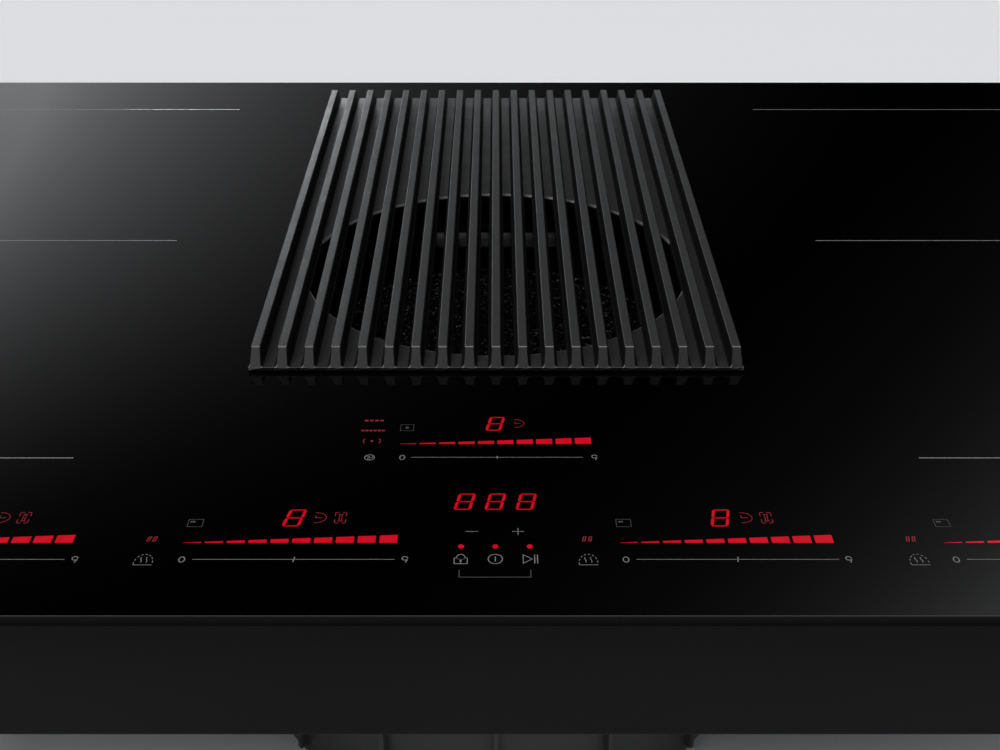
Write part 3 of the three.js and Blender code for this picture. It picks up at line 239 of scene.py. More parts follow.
finishes = {
    "black_glass_ceramic": glassFinish(),
    "cast_black": castFinish("blackCasting", 0.0075, 0.019, 0.4, 0.5),
    "gloss_black": glossBlackFinish(),
    "matt_black": mouldedFinish("mattBlack", (0.018, 0.018, 0.0185), (0.027, 0.027, 0.028), 0.55),
    "grey_plastic": mouldedFinish("greyPlastic", (0.13, 0.135, 0.14), (0.17, 0.175, 0.18), 0.5),
    "filter_metal": filterFinish(),
    "grip": mouldedFinish("gripPlastic", (0.11, 0.11, 0.112), (0.145, 0.145, 0.147), 0.66, 0.2),
    # painted shade: a very dark copy of the casting for the bars' sides and the plate's front face
    "flankShade": castFinish("castFlankShade", 0.0015, 0.005, 0.6, 0.75, 0.1),
    # painted highlight: a paler copy of the casting along the bars' left top edges
    "rim": castFinish("castRimHighlight", 0.03, 0.055, 0.55, 0.7, 0.2),
    # painted highlight: a pale copy of the casting on the bars' front top edges, the hole's rim and the plate's
    # front edge
    "edge": castFinish("castEdgeHighlight", 0.1, 0.16, 0.36, 0.5),
    # painted shade: a darker copy of the casting for the bars' end faces
    "front": castFinish("castFrontShade", 0.002, 0.017, 0.42, 0.55, 0.4),
    # ground glass edge with painted shade, darker towards its lower side
    "groundAndShade": groundEdgeFinish("groundGlassAndShade", 0.0012, 0.009, 0.45),
    # painted highlight: a pale copy of the ground edge on the glass's upper chamfer
    "lip": groundEdgeFinish("chamferHighlight", 0.06, 0.1, 0.3),
    "aluminium": rolledFinish("aluminium", (0.6, 0.61, 0.62), (0.78, 0.79, 0.8), 0.36),
    "black_sheet": sheetFinish(),
    "steel": rolledFinish("springSteel", (0.38, 0.38, 0.385), (0.52, 0.52, 0.53), 0.34),
    "copper_litz": copperFinish(),
    "circuit_board": boardFinish(),
    "silicone": rubberFinish("silicone", (0.03, 0.03, 0.031), (0.05, 0.05, 0.052), 900, 0.00003),
    "sealing_foam": rubberFinish("sealingFoam", (0.015, 0.015, 0.016), (0.04, 0.04, 0.042), 1400, 0.0002),
    "Print": inkFinish("greyPrint", 0.22),
    "Faint": inkFinish("dimPrint", 0.055),
    "Lights": lampFinish("redLamp", (0.52, 0.003, 0.012), (0.6, 0.005, 0.017)),
    "Low": lampFinish("dimLamp", (0.2, 0.018, 0.032), (0.26, 0.022, 0.04)),
}
print("finishes ready:", len(finishes))

for part in frame["record"]["subparts"]:
    materials = frame["nodes"][part["node"]].data.materials
    materials.clear()
    materials.append(finishes[part["material_slot"]])


def piece(name, bm, body, slot, stands=None, limit=32, looks=None):
    bmesh.ops.scale(bm, vec=(mm, mm, mm), verts=bm.verts)
    for face in bm.faces:
        face.smooth = True
    for edge in bm.edges:
        if len(edge.link_faces) == 2:
            edge.smooth = edge.calc_face_angle(0) < math.radians(limit)
    made = toObject(bm, name)
    for look in looks or (slot,):
        made.data.materials.append(finishes[look])
    even = made.modifiers.new("even", "WEIGHTED_NORMAL")
    even.keep_sharp = True
    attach(made, body)
    if stands:
        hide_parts(stands)


def toObject(bm, name):
    mesh = bpy.data.meshes.new(name)
    bm.to_mesh(mesh)
    bm.free()
    made = bpy.data.objects.new(name, mesh)
    bpy.context.scene.collection.objects.link(made)
    return made


def merged(target, extra):
    mesh = bpy.data.meshes.new("spare")
    extra.to_mesh(mesh)
    extra.free()
    target.from_mesh(mesh)
    bpy.data.meshes.remove(mesh)
    return target


def moved(bm, matrix):
    bmesh.ops.transform(bm, matrix=matrix, verts=bm.verts)
    return bm


def aboutAxis(y, turn):  # turns a shape drawn at the origin and sets it on the upright axis at y
    return Matrix.Translation((0, y, 0)) @ Matrix.Rotation(math.radians(turn), 4, "Z")


def fromVent(spot):
    return (spot.xy - Vector((0, ventY))).length


def bridge(bm, low, high):  # a band of faces between two closed rows of points
    for i in range(len(low)):
        bm.faces.new((low[i - 1], low[i], high[i], high[i - 1]))


def ringOf(bm, points, z):
    return [bm.verts.new((x, y, z)) for x, y in points]


def around(bm, ring):
    ends = [(ring[i - 1], ring[i]) for i in range(len(ring))]
    return [bm.edges.get(pair) or bm.edges.new(pair) for pair in ends]


# Stacks outlines and closes both ends. A wall is a list of outlines and heights, and the later walls are holes.
def walled(*walls):
    bm = bmesh.new()
    walls = [[ringOf(bm, points, z) for points, z in wall] for wall in walls]
    for wall in walls:
        for low, high in zip(wall, wall[1:]):
            bridge(bm, low, high)
    for end in (0, -1):
        edges = [edge for wall in walls for edge in around(bm, wall[end])]
        bmesh.ops.triangle_fill(bm, edges=edges, use_beauty=True)
    bmesh.ops.recalc_face_normals(bm, faces=bm.faces)
    return bm


def raised(outline, z0, z1, *holes):
    bm = bmesh.new()
    edges = [edge for points in (outline, *holes) for edge in around(bm, ringOf(bm, points, z0))]
    bmesh.ops.triangle_fill(bm, edges=edges, use_beauty=True)
    grown = bmesh.ops.extrude_face_region(bm, geom=bm.faces[:], use_keep_orig=True)
    verts = [v for v in grown["geom"] if isinstance(v, bmesh.types.BMVert)]
    bmesh.ops.translate(bm, verts=verts, vec=(0, 0, z1 - z0))
    bmesh.ops.recalc_face_normals(bm, faces=bm.faces)
    return bm


def arcPoints(cx, cy, radius, start, end, steps):
    turn = [math.radians(start + (end - start) * i / steps) for i in range(steps + 1)]
    return [(cx + radius * math.cos(a), cy + radius * math.sin(a)) for a in turn]


def circlePoints(cx, cy, radius, steps):
    return arcPoints(cx, cy, radius, 0, 360, steps)[:-1]


def roundedOutline(x0, x1, y0, y1, radius, steps=8):
    corners = ((x1 - radius, y1 - radius), (x0 + radius, y1 - radius),
               (x0 + radius, y0 + radius), (x1 - radius, y0 + radius))
    return [spot for i, (x, y) in enumerate(corners)
            for spot in arcPoints(x, y, radius, 90 * i, 90 * i + 90, steps)]


def softened(points, radius, steps, closed):
    done = []
    for i, spot in enumerate(points):
        here = Vector(spot)
        if not closed and i in (0, len(points) - 1):
            done.append(tuple(here))
            continue
        back = Vector(points[i - 1]) - here
        on = Vector(points[(i + 1) % len(points)]) - here
        start = here + back.normalized() * min(radius, back.length * 0.45)
        end = here + on.normalized() * min(radius, on.length * 0.45)
        for k in range(steps + 1):
            t = k / steps
            done.append(tuple(start * (1 - t) ** 2 + here * 2 * t * (1 - t) + end * t * t))
    return done


# Spins a profile of radii and heights, its corners rounded. One that starts at radius 0 stays open at the axis.
def turned(points, y, rounding, segments=3, steps=120, x=0):
    bm = bmesh.new()
    closed = points[0][0] > 0
    profile = softened(points, rounding, segments, closed) if rounding else points
    corners = [bm.verts.new((x + r, y, z)) for r, z in profile]
    ring = [bm.edges.new((a, b)) for a, b in zip(corners, corners[1:])]
    if closed:
        ring.append(bm.edges.new((corners[-1], corners[0])))
    bmesh.ops.spin(
        bm, geom=corners + ring, cent=(x, y, 0), axis=(0, 0, 1), angle=2 * math.pi, steps=steps, use_merge=True)
    bmesh.ops.remove_doubles(bm, verts=bm.verts, dist=0.001)
    bmesh.ops.recalc_face_normals(bm, faces=bm.faces)
    return bm


sharpAngle = 1.2  # radians, above it an edge of a plate's outline is bevelled


def edgesAt(bm, test, angle=0):  # edges sharper than angle whose two ends pass the test
    return [e for e in bm.edges if e.calc_face_angle(0) >= angle and all(test(v.co) for v in e.verts)]


def bevelled(bm, edges, width, segments=2):
    bmesh.ops.bevel(
        bm, geom=list(edges), offset=width, segments=segments, profile=0.5, affect="EDGES", clamp_overlap=True,
        material=-1)


def boxMesh(x0, x1, y0, y1, z0, z1, rounding=0.0, segments=2):
    bm = bmesh.new()
    size = Matrix.Diagonal((x1 - x0, y1 - y0, z1 - z0, 1))
    place = Matrix.Translation(((x0 + x1) / 2, (y0 + y1) / 2, (z0 + z1) / 2))
    bmesh.ops.create_cube(bm, size=1, matrix=place @ size)
    if rounding:
        bevelled(bm, bm.edges[:], rounding, segments)
    return bm


def cutBy(bm, tool):
    whole, part = toObject(bm, "whole"), toObject(tool, "part")
    step = whole.modifiers.new("step", "BOOLEAN")
    step.operation = "DIFFERENCE"
    step.solver = "EXACT"
    step.object = part
    ready = whole.evaluated_get(bpy.context.evaluated_depsgraph_get())
    result = bmesh.new()
    result.from_mesh(ready.to_mesh())
    ready.to_mesh_clear()
    for spare in (whole, part):
        mesh = spare.data
        bpy.data.objects.remove(spare)
        bpy.data.meshes.remove(mesh)
    bmesh.ops.remove_doubles(result, verts=result.verts, dist=0.0001)
    return result


def ventHole(rings, steps):  # a hole's wall from its radii and heights
    return [(circlePoints(0, ventY, radius, steps), z) for radius, z in rings]


def screwHead(target, place, radius, height):
    ring = circlePoints(0, 0, radius, 20)
    head = raised(ring, height * 0.4, height, circlePoints(0, 0, radius * 0.46, 6))
    crown = edgesAt(head, lambda spot: spot.z > height * 0.9 and spot.xy.length > radius * 0.9)
    bevelled(head, crown, height * 0.35)
    merged(head, raised(ring, 0, height * 0.4))
    merged(target, moved(head, place))


scene = bpy.context.scene
scene.view_settings.view_transform = "Standard"


def makeFloor(half=20):
    material, point = newMaterial("paleFloor", (0.8, 0.8, 0.8), 0.8, 0, 0.1)
    dressed(material, {"Base Color": tint(noise(point, 1.5, 2), (0.85, 0.85, 0.85), (0.87, 0.87, 0.87))})
    tree = material.node_tree
    # seen from below the floor is clear, and it lets the light through
    either = newNode(tree, "Math", {0: newNode(tree, "NewGeometry")["Backfacing"],
                                    1: newNode(tree, "LightPath")["Is Shadow Ray"]}, operation="MAXIMUM")["Value"]
    mix = newNode(tree, "MixShader", {
        "Fac": either, 1: tree.nodes["Principled BSDF"].outputs["BSDF"],
        2: newNode(tree, "BsdfTransparent")["BSDF"]})["Shader"]
    plug(tree.nodes["Material Output"], {"Surface": mix})
    bm = bmesh.new()
    bm.faces.new([bm.verts.new((half * x, half * y, 0)) for x, y in ((-1, -1), (1, -1), (1, 1), (-1, 1))])
    floor = toObject(bm, "floor")
    floor.data.materials.append(material)


# Soft patches of light low at the back, as the photograph's glass mirrors them.
glows = (
    {"level": 0.66, "x": -0.287, "z": 0.337, "sideways": -8.38, "upwards": -4.16, "curve": -14.9, "twist": 4.0,
     "most": 0.95},
    {"level": 0.4, "x": 0.39, "z": 0.8, "sideways": 8.1, "upwards": 8, "curve": 0, "twist": 0, "most": 0.6},
)
backdrop = {"color": (0.95, 0.965, 1, 1), "seen": 0.775}


def makeWorld():
    world = bpy.data.worlds.new("studio")
    scene.world = world
    world.use_nodes = True
    tree = world.node_tree
    way = newNode(tree, "SeparateXYZ", {"Vector": newNode(tree, "TexCoord")["Generated"]})
    east, north, up = (way[axis] for axis in "XYZ")

    def calc(kind, a, b):
        return newNode(tree, "Math", {0: a, 1: b}, operation=kind)["Value"]

    ahead = calc("MAXIMUM", north, 0.08)
    across, rise = calc("DIVIDE", east, ahead), calc("DIVIDE", up, ahead)

    def glow(level, x, z, sideways, upwards, curve, twist, most):
        dx, dz = calc("ADD", across, -x), calc("ADD", rise, -z)
        slope = calc("ADD", upwards, calc("ADD", calc("MULTIPLY", dz, curve), calc("MULTIPLY", dx, twist)))
        reach = calc("ADD", calc("MULTIPLY", dx, sideways), calc("MULTIPLY", dz, slope))
        light = calc("MULTIPLY", calc("POWER", math.e, calc("MINIMUM", reach, 4)), level)
        return calc("MAXIMUM", calc("MINIMUM", calc("SUBTRACT", light, 0.006), most), 0)

    # a dark wall at the back between two heights, pale elsewhere
    rear = spread(north, 0, 1, 0.12, 0.42)
    high = calc("MULTIPLY", spread(up, 0, 1, 0.2, 0.285), spread(up, 1, 0, 0.8, 0.97))
    sky = calc("ADD", spread(up, 0.3, 1.5, 0.93, 0.99), spread(up, 0.45, 0, -0.1, 0.05))
    pale = calc("MULTIPLY", calc("SUBTRACT", 1, calc("MULTIPLY", rear, high)), sky)
    glowing = calc("ADD", *(glow(**patch) for patch in glows))
    above = calc("MULTIPLY", rear, spread(up, 0, 1, 0.05, 0.2))
    lit = calc("MAXIMUM", pale, calc("MULTIPLY", glowing, above))
    rays = newNode(tree, "LightPath")
    seen = calc("MAXIMUM", rays["Is Camera Ray"], rays["Is Transmission Ray"])
    plain = calc("ADD", calc("MULTIPLY", seen, backdrop["seen"]), calc("MULTIPLY", calc("SUBTRACT", 1, seen), lit))
    plug(tree.nodes["Background"], {"Strength": plain, "Color": backdrop["color"]})


keySize = {"energy": 2.0, "angle": 24, "way": (-0.46, -0.50, 0.73), "color": (0.97, 0.98, 1)}
sheenSize = {"y": 0.42, "z": 0.248, "tall": 0.024, "spread": 90, "color": (0.94, 0.98, 1)}
sheens = {"rearLamp": (-0.2, 0.14, 0.13), "middleLamp": (0.05, 0.28, 0.015), "slotLamp": (-0.11, 0.05, 0.012)}
cameraSize = {"lens": 51.55, "sensor": 36, "shift": 0.0039, "place": (0, -0.6033, 0.4966), "tilt": 90 - 29.31}


def addLamp(name, kind, energy, color):
    data = bpy.data.lights.new(name, kind)
    data.energy = energy
    data.color = color
    lamp = bpy.data.objects.new(name, data)
    scene.collection.objects.link(lamp)
    return lamp, data


def makeLamps():
    sun, data = addLamp("keyLamp", "SUN", keySize["energy"], keySize["color"])
    data.angle = math.radians(keySize["angle"])
    sun.rotation_euler = Vector(keySize["way"]).to_track_quat("Z", "Y").to_euler()
    # low behind the glass: a sheen on the bars that the glass doesn't mirror
    for name, (x, width, energy) in sheens.items():
        lamp, data = addLamp(name, "AREA", energy, sheenSize["color"])
        data.shape = "RECTANGLE"
        data.size, data.size_y = width, sheenSize["tall"]
        data.spread = math.radians(sheenSize["spread"])
        lamp.location = (x, sheenSize["y"], sheenSize["z"])
        lamp.rotation_euler = (math.radians(90), 0, math.radians(180))
        lamp.visible_camera = False


def makeCamera():
    data = bpy.data.cameras.new("camera")
    data.lens, data.sensor_width, data.shift_x = cameraSize["lens"], cameraSize["sensor"], cameraSize["shift"]
    camera = bpy.data.objects.new("camera", data)
    camera.location = cameraSize["place"]
    camera.rotation_euler = (math.radians(cameraSize["tilt"]), 0, 0)
    scene.collection.objects.link(camera)
    scene.camera = camera


makeFloor()
makeWorld()
makeLamps()
makeCamera()
print("stage ready")

glassSize = {"corner": 5, "edge": 0.7, "hole": 93.1, "holeEdge": 0.5, "steps": 160, "flat": 0.97, "lip": 0.2}


def makeGlass():
    d = glassSize
    top, bottom, r, c = glassTop, glassLow.z, d["hole"], d["holeEdge"]
    rings = [(r + c, top), (r + 0.3 * c, top - 0.3 * c), (r, top - c), (r, bottom + c), (r + c, bottom)]
    outline = roundedOutline(glassLow.x, glassHigh.x, glassLow.y, glassHigh.y, d["corner"])
    bm = walled([(outline, top), (outline, bottom)], ventHole(rings, d["steps"]))
    bevelled(bm, edgesAt(bm, lambda spot: fromVent(spot) > r + 2, sharpAngle), d["edge"], 3)
    bm.normal_update()
    # The glass's edge faces take the ground finish with painted shade, its upper chamfer facets a painted
    # highlight.
    for face in bm.faces:
        if abs(face.normal.z) < d["flat"] and fromVent(face.calc_center_median()) > r + 2:
            face.material_index = 2 if face.normal.z > d["lip"] else 1
    piece("glassPlate", bm, "housing", "black_glass_ceramic", "glass_top", 15,
          ("black_glass_ceramic", "groundAndShade", "lip"))


makeGlass()
print("glass ready")

# After the first look, the grille's looks hold painted light: gloss black skirt, dark flanks and fronts as painted
# shade, pale rims and edges as painted highlights.
grilleSize = {
    "plate": 1.5, "corner": 1.2, "plateEdge": 0.35, "bars": 19, "crown": 1.9, "crownEdge": 0.4, "root": 2.35,
    "foot": 2.7, "fillet": 0.9, "slope": 5.2, "endEdge": 0.55, "sink": 0.03, "hole": 85, "rim": 0.9,
    "skirt": 1.6, "skirtDepth": 4, "looks": ("cast_black", "gloss_black", "flankShade", "rim", "edge", "front"),
}


def grilleBar(bm, cx, y0, y1, z0, zPlate, zTop):
    d = grilleSize
    f, edge = d["fillet"], d["crownEdge"]
    side = [(d["foot"] + 0.9 * f, z0)] + [
        (d["root"] + 0.95 * f * (1 - math.sin(a)), zPlate + f * (1 - math.cos(a)))
        for a in map(math.radians, (0, 22, 45, 68, 90))]
    side += [
        (d["crown"] - edge * (1 - math.cos(a)), zTop - edge * (1 - math.sin(a)))
        for a in map(math.radians, (0, 30, 60, 90))]
    ring = side + [(-x, z) for x, z in reversed(side)]
    lean = d["slope"] / (zTop - zPlate)
    front, back = [
        [bm.verts.new((cx + x, end + way * max(0, z - zPlate) * lean, z)) for x, z in ring]
        for end, way in ((y0, 1), (y1, -1))]
    bridge(bm, front, back)
    return [bm.faces.new(front), bm.faces.new(back[::-1])]


def makeGrille():
    d = grilleSize
    x0, x1, y0, y1, base = grilleLow.x, grilleHigh.x, grilleLow.y, grilleHigh.y, grilleLow.z
    z0 = base + d["skirtDepth"]
    zPlate, zTop = z0 + d["plate"], grilleHigh.z
    r, c, s = d["hole"], d["rim"], d["hole"] + d["skirt"]
    rings = [(s + 1, zPlate), (r + c + 0.15, zPlate), (r + 0.6 * c, zPlate - 0.2 * c),
             (r + 0.1 * c, zPlate - 0.8 * c), (r, zPlate - 1.1 * c), (r, base + 0.3), (r + 0.3, base),
             (s - 0.3, base), (s, base + 0.3), (s, z0 - 0.4), (s + 0.4, z0), (s + 1, z0)]
    outline = roundedOutline(x0, x1, y0, y1, d["corner"], 4)
    plate = walled([(outline, zPlate), (outline, z0)], ventHole(rings, 144))

    def atRim(spot):
        outside = fromVent(spot) > r + 5 or abs(spot.y - y0) < 1
        return outside and min(abs(spot.x - x0), abs(spot.x - x1), abs(spot.y - y0), abs(spot.y - y1)) < 1.3

    bevelled(plate, edgesAt(plate, atRim, sharpAngle), d["plateEdge"], 3)
    bars = bmesh.new()
    pitch = (x1 - x0 - 2 * d["foot"]) / (d["bars"] - 1)
    caps = []
    for i in range(d["bars"]):
        cx = (i - (d["bars"] - 1) / 2) * pitch
        caps += grilleBar(bars, cx, y0, y1, z0 + d["sink"], zPlate, zTop)
    bmesh.ops.recalc_face_normals(bars, faces=bars.faces)
    bevelled(bars, {e for cap in caps for e in cap.edges}, d["endEdge"], 3)
    for v in bars.verts:
        v.co.x = min(max(v.co.x, x0), x1)
    skirtShade, flankShade, leftEdgeHighlight, edge, front = range(1, 6)  # places in d["looks"]
    bars.normal_update()
    for face in bars.faces:
        x, y, z = face.normal
        below = zTop - face.calc_center_median().z
        # painted shade on the bars' sides
        if abs(x) > (0.08 if below > 3 else 0.3):
            face.material_index = flankShade
        # painted highlight on the bars' left top edges
        if x < -0.2 and z > 0.6 and below < 0.5:
            face.material_index = leftEdgeHighlight
        # painted highlight on the bars' front top edges
        if 0.1 < abs(y) < 0.74 and z > 0.6 and abs(x) < 0.4:
            face.material_index = edge
        # painted shade on the bars' end faces
        if abs(y) > 0.76 and abs(x) < 0.3:
            face.material_index = front
    plate.normal_update()
    for face in plate.faces:
        spot = face.calc_center_median()
        reach = fromVent(spot)
        # painted shade: the skirt under the plate takes gloss black so that it reads dark
        if reach < s + 0.2 and spot.z < zPlate - 0.9:
            face.material_index = skirtShade
        # painted highlight on the hole's rim and the plate's front top edge, painted shade on the plate's front
        # face
        if r < reach < r + c + 0.1 and zPlate - 1 < spot.z < zPlate:
            face.material_index = edge
        if abs(spot.y - y0) < 0.5 and face.normal.z < 0.95:
            face.material_index = edge if face.normal.z > 0.25 else flankShade
    piece("grilleCasting", merged(plate, bars), "grille", "cast_black", "vent_grille", 40, d["looks"])


makeGrille()
print("grille ready")

basketSize = {
    "wall": 1.8, "draft": 5, "lip": 3.3, "lipThick": 1.4, "ring": 7, "floor": 2.6, "hub": 11, "spoke": 1.5,
    "spokes": 4, "grip": 31.5, "gripDrop": 16.2, "gripTall": 8, "gripEdge": 2.4,
}


def makeBasket():
    d = basketSize
    top, low, thick, wall = basketHigh.z, basketLow.z, d["lipThick"], d["wall"]
    lip = (basketHigh.x - basketLow.x) / 2
    outer = lip - d["lip"]
    inner = outer - wall
    foot = inner - d["draft"]
    floor = low + d["floor"]
    shell = turned([
        (inner, top), (lip, top), (lip, top - thick), (outer, top - thick), (foot + wall, low + 1.5), (foot, low),
        (foot - d["ring"], low), (foot - d["ring"], floor), (foot, floor)], ventY, 0.9, 4, 144)
    merged(shell, turned([
        (0, low + 0.02), (d["hub"], low + 0.02), (d["hub"], floor - 0.02), (0, floor - 0.02)], ventY, 0.7, 3, 48))
    reach = foot - d["ring"] / 2
    for i in range(d["spokes"]):
        spoke = boxMesh(-reach, reach, -d["spoke"], d["spoke"], low + 0.05, floor - 0.05, 0.5)
        merged(shell, moved(spoke, aboutAxis(ventY, (i + 0.5) * 180 / d["spokes"])))
    gripTop = top - d["gripDrop"]
    wallAt = inner - d["draft"] * (d["gripDrop"] + d["gripTall"] / 2) / (top - low)
    chord = ventY + math.sqrt(wallAt ** 2 - d["grip"] ** 2)
    grip = boxMesh(
        -d["grip"], d["grip"], chord - 4, chord + 1.2, gripTop - d["gripTall"], gripTop, d["gripEdge"], 6)
    piece("basketGrip", grip, "basket", "matt_black", looks=("grip",))
    piece("spunBasket", shell, "basket", "gloss_black", "filter_basket", 40)


# The filter is a folded rim round layers of wavy wire. Each layer is turned by its own angle.
filterSize = {
    "rim": 2.5, "sheet": 1.1, "gap": 1.6, "pitch": 1.6, "wave": 3.4, "step": 0.85, "sway": 0.46, "lift": 0.45,
    "scatter": 0.12, "wire": (0.17, 0.24), "shortest": 5, "turns": (12, 74, 133, 48),
}


def wireRows(bm, reach, place):
    d = filterSize
    rows = int(reach / d["pitch"])
    thick, tall = place.to_3x3() @ Vector((0, d["wire"][0], 0)), Vector((0, 0, d["wire"][1]))
    for row in range(-rows, rows + 1):
        across = row * d["pitch"]
        run = math.sqrt(max(0, reach ** 2 - across ** 2))
        if run < d["shortest"]:
            continue
        phase = math.pi * (row % 2)
        last = None
        for k in range(int(2 * run / d["step"]) + 1):
            along = -run + k * d["step"]
            turn = 2 * math.pi * along / d["wave"]
            sway = math.sin(turn + phase) * d["pitch"] * d["sway"]
            lift = math.cos(turn * 0.5 + row) * d["lift"] + random.uniform(-d["scatter"], d["scatter"])
            spot = place @ Vector((along, across + sway, lift))
            ring = [bm.verts.new(spot + way) for way in (thick, tall, -thick, -tall)]
            if last:
                bridge(bm, last, ring)
            else:
                bm.faces.new(ring)
            last = ring
        bm.faces.new(last[::-1])


def makeFilter():
    d = filterSize
    low, high = filterLow.z, filterHigh.z
    radius = (filterHigh.x - filterLow.x) / 2
    inner, fold, sheet = radius - d["rim"], radius - d["sheet"], d["sheet"]
    rim = turned([
        (inner, low), (radius, low), (radius, high), (inner, high), (inner, high - sheet), (fold, high - sheet),
        (fold, low + sheet), (inner, low + sheet)], ventY, 0.4, 3, 128)
    piece("filterRim", rim, "basket", "filter_metal", "grease_filter", 35)
    random.seed(7)
    heights = (high - 1.2, high - 2.7, high - 4.2, low + 1.4)
    for number, (z, turn) in enumerate(zip(heights, d["turns"]), 1):
        bm = bmesh.new()
        wireRows(bm, radius - d["gap"], Matrix.Translation((0, 0, z)) @ aboutAxis(ventY, turn))
        bmesh.ops.recalc_face_normals(bm, faces=bm.faces)
        print("mesh layer", number, len(bm.faces), "faces")
        piece("filterLayer" + str(number), bm, "basket", "filter_metal", limit=20)


makeBasket()
makeFilter()
print("basket ready")

collarSize = {"flange": 11, "flangeThick": 2.5, "wall": 3, "under": 0.3}
lipSize = {"wall": 3.5, "groove": 1, "drop": 1.6, "slope": 0.8}


def makeCollar():
    d = collarSize
    low, high = box("intake_collar")
    flange = (high.x - low.x) / 2
    outer = flange - d["flange"]
    inner, shelf = outer - d["wall"], glassLow.z - d["under"]
    under = shelf - d["flangeThick"]
    collar = turned([
        (inner, high.z), (outer, high.z), (outer, shelf), (flange, shelf), (flange, under), (outer, under),
        (outer, low.z), (inner, low.z)], ventY, 0.7, 3, 144)
    piece("turnedCollar", collar, "housing", "gloss_black", "intake_collar", 40)
    d = lipSize
    low, high = box("collar_seal")
    outer = (high.x - low.x) / 2
    inner, groove, z = outer - d["wall"], outer - d["groove"], high.z - d["drop"]
    seal = turned([
        (inner, high.z), (outer, high.z), (outer, z), (groove, z - d["slope"]), (outer, z - 2 * d["slope"]),
        (outer, low.z + 0.6), (outer - 1.6, low.z), (inner, low.z)], ventY, 0.5)
    piece("collarLip", seal, "housing", "silicone", "collar_seal", 40)


cupSize = {"radius": 64, "foot": 59, "wall": 2, "band": 0.6, "pip": 20, "tab": 8, "tabDeep": 13, "rib": 5.5}


def makeCup():
    d = cupSize
    low, high = box("drip_cup")
    z0, z1, rim, foot, wall, pip = low.z, high.z, d["radius"], d["foot"], d["wall"], d["pip"]
    side = rim - d["band"]
    bowl = turned([
        (0, z0 + 1), (pip, z0 + 1), (pip + 2, z0), (foot, z0), (side, z0 + 8), (side, z1 - 2.6), (rim, z1 - 2),
        (rim, z1), (rim - wall, z1), (rim - wall, z0 + 9), (foot - 1, z0 + wall), (pip + 4, z0 + wall),
        (pip + 1, z0 + 2.8), (0, z0 + 2.8)], ventY, 1.3, 4)
    y1 = ventY + rim - wall / 2
    merged(bowl, boxMesh(-d["tab"], d["tab"], y1 - d["tabDeep"], y1, z1 - 5, z1 - 2.5, 1.1, 3))
    for x in (-d["rib"], d["rib"]):
        merged(bowl, boxMesh(x - 0.9, x + 0.9, y1 - 9, y1, z1 - 11, z1 - 4, 0.5))
    piece("mouldedCup", bowl, "cup", "grey_plastic", "drip_cup", 40)


tubSize = {
    "half": 120, "rear": glassHigh.y - 28, "corner": 10, "wall": 2.5, "rim": 6, "rimThick": 3, "rib": 4,
    "frontRibs": 7, "frontFan": 147.6, "sideRibs": 4, "border": 13, "recess": 0.8, "spoke": 8, "plenum": 106,
    "seat": 63, "foot": (90, 20, 9), "mouth": (106.5, 12, 92, 6),
}


def tubOutline(inset):
    d = tubSize
    x, y = d["half"] - inset - d["corner"], d["rear"] - inset - d["corner"]
    return (arcPoints(0, ventY, d["half"] - inset, 180, 360, 72) + arcPoints(x, y, d["corner"], 0, 90, 8)
            + arcPoints(-x, y, d["corner"], 90, 180, 8))


def tubShell(top):
    d = tubSize
    wall, rim, border, recess, ledge = d["wall"], d["rim"], d["border"], d["recess"], top - d["rimThick"]
    levels = (
        (border + 0.4, recess), (border, recess * 0.6), (border - 0.4, 0), (3.2, 0), (1.4, 0.45), (0.4, 1.5),
        (0, 3.2), (0, ledge - 0.9), (-0.3, ledge - 0.2), (-1, ledge), (0.5 - rim, ledge), (-rim, ledge + 0.5),
        (-rim, top - 0.5), (0.5 - rim, top), (wall - 0.5, top), (wall, top - 0.5), (wall, 5.5),
        (wall + 0.9, 3.4), (wall + 3, wall))
    shell = walled([(tubOutline(inset), z) for inset, z in levels])
    half, z0, z1, corner = d["mouth"]
    bore = boxMesh(-half, half, d["rear"] - 6, d["rear"] + 4, z0, z1)
    bevelled(bore, [e for e in bore.edges if abs(e.verts[0].co.y - e.verts[1].co.y) > 5], corner, 5)
    return cutBy(shell, bore)


def tubRibs(shell, top):
    d = tubSize
    near, far, half = d["half"] - 1, d["half"] + d["rib"], d["wall"] / 2
    for i in range(d["frontRibs"]):
        rib = boxMesh(near, far, -half, half, 6, top - 1, 0.6, 3)
        turn = 270 + d["frontFan"] * (i / (d["frontRibs"] - 1) - 0.5)
        merged(shell, moved(rib, aboutAxis(ventY, turn)))
    first, last = ventY + 3 * d["corner"], d["rear"] - 3 * d["corner"]
    for i in range(d["sideRibs"]):
        y = first + (last - first) * i / (d["sideRibs"] - 1)
        for x0, x1 in ((-far, -near), (near, far)):
            merged(shell, boxMesh(x0, x1, y - half, y + half, 6, top - 1, 0.6, 3))


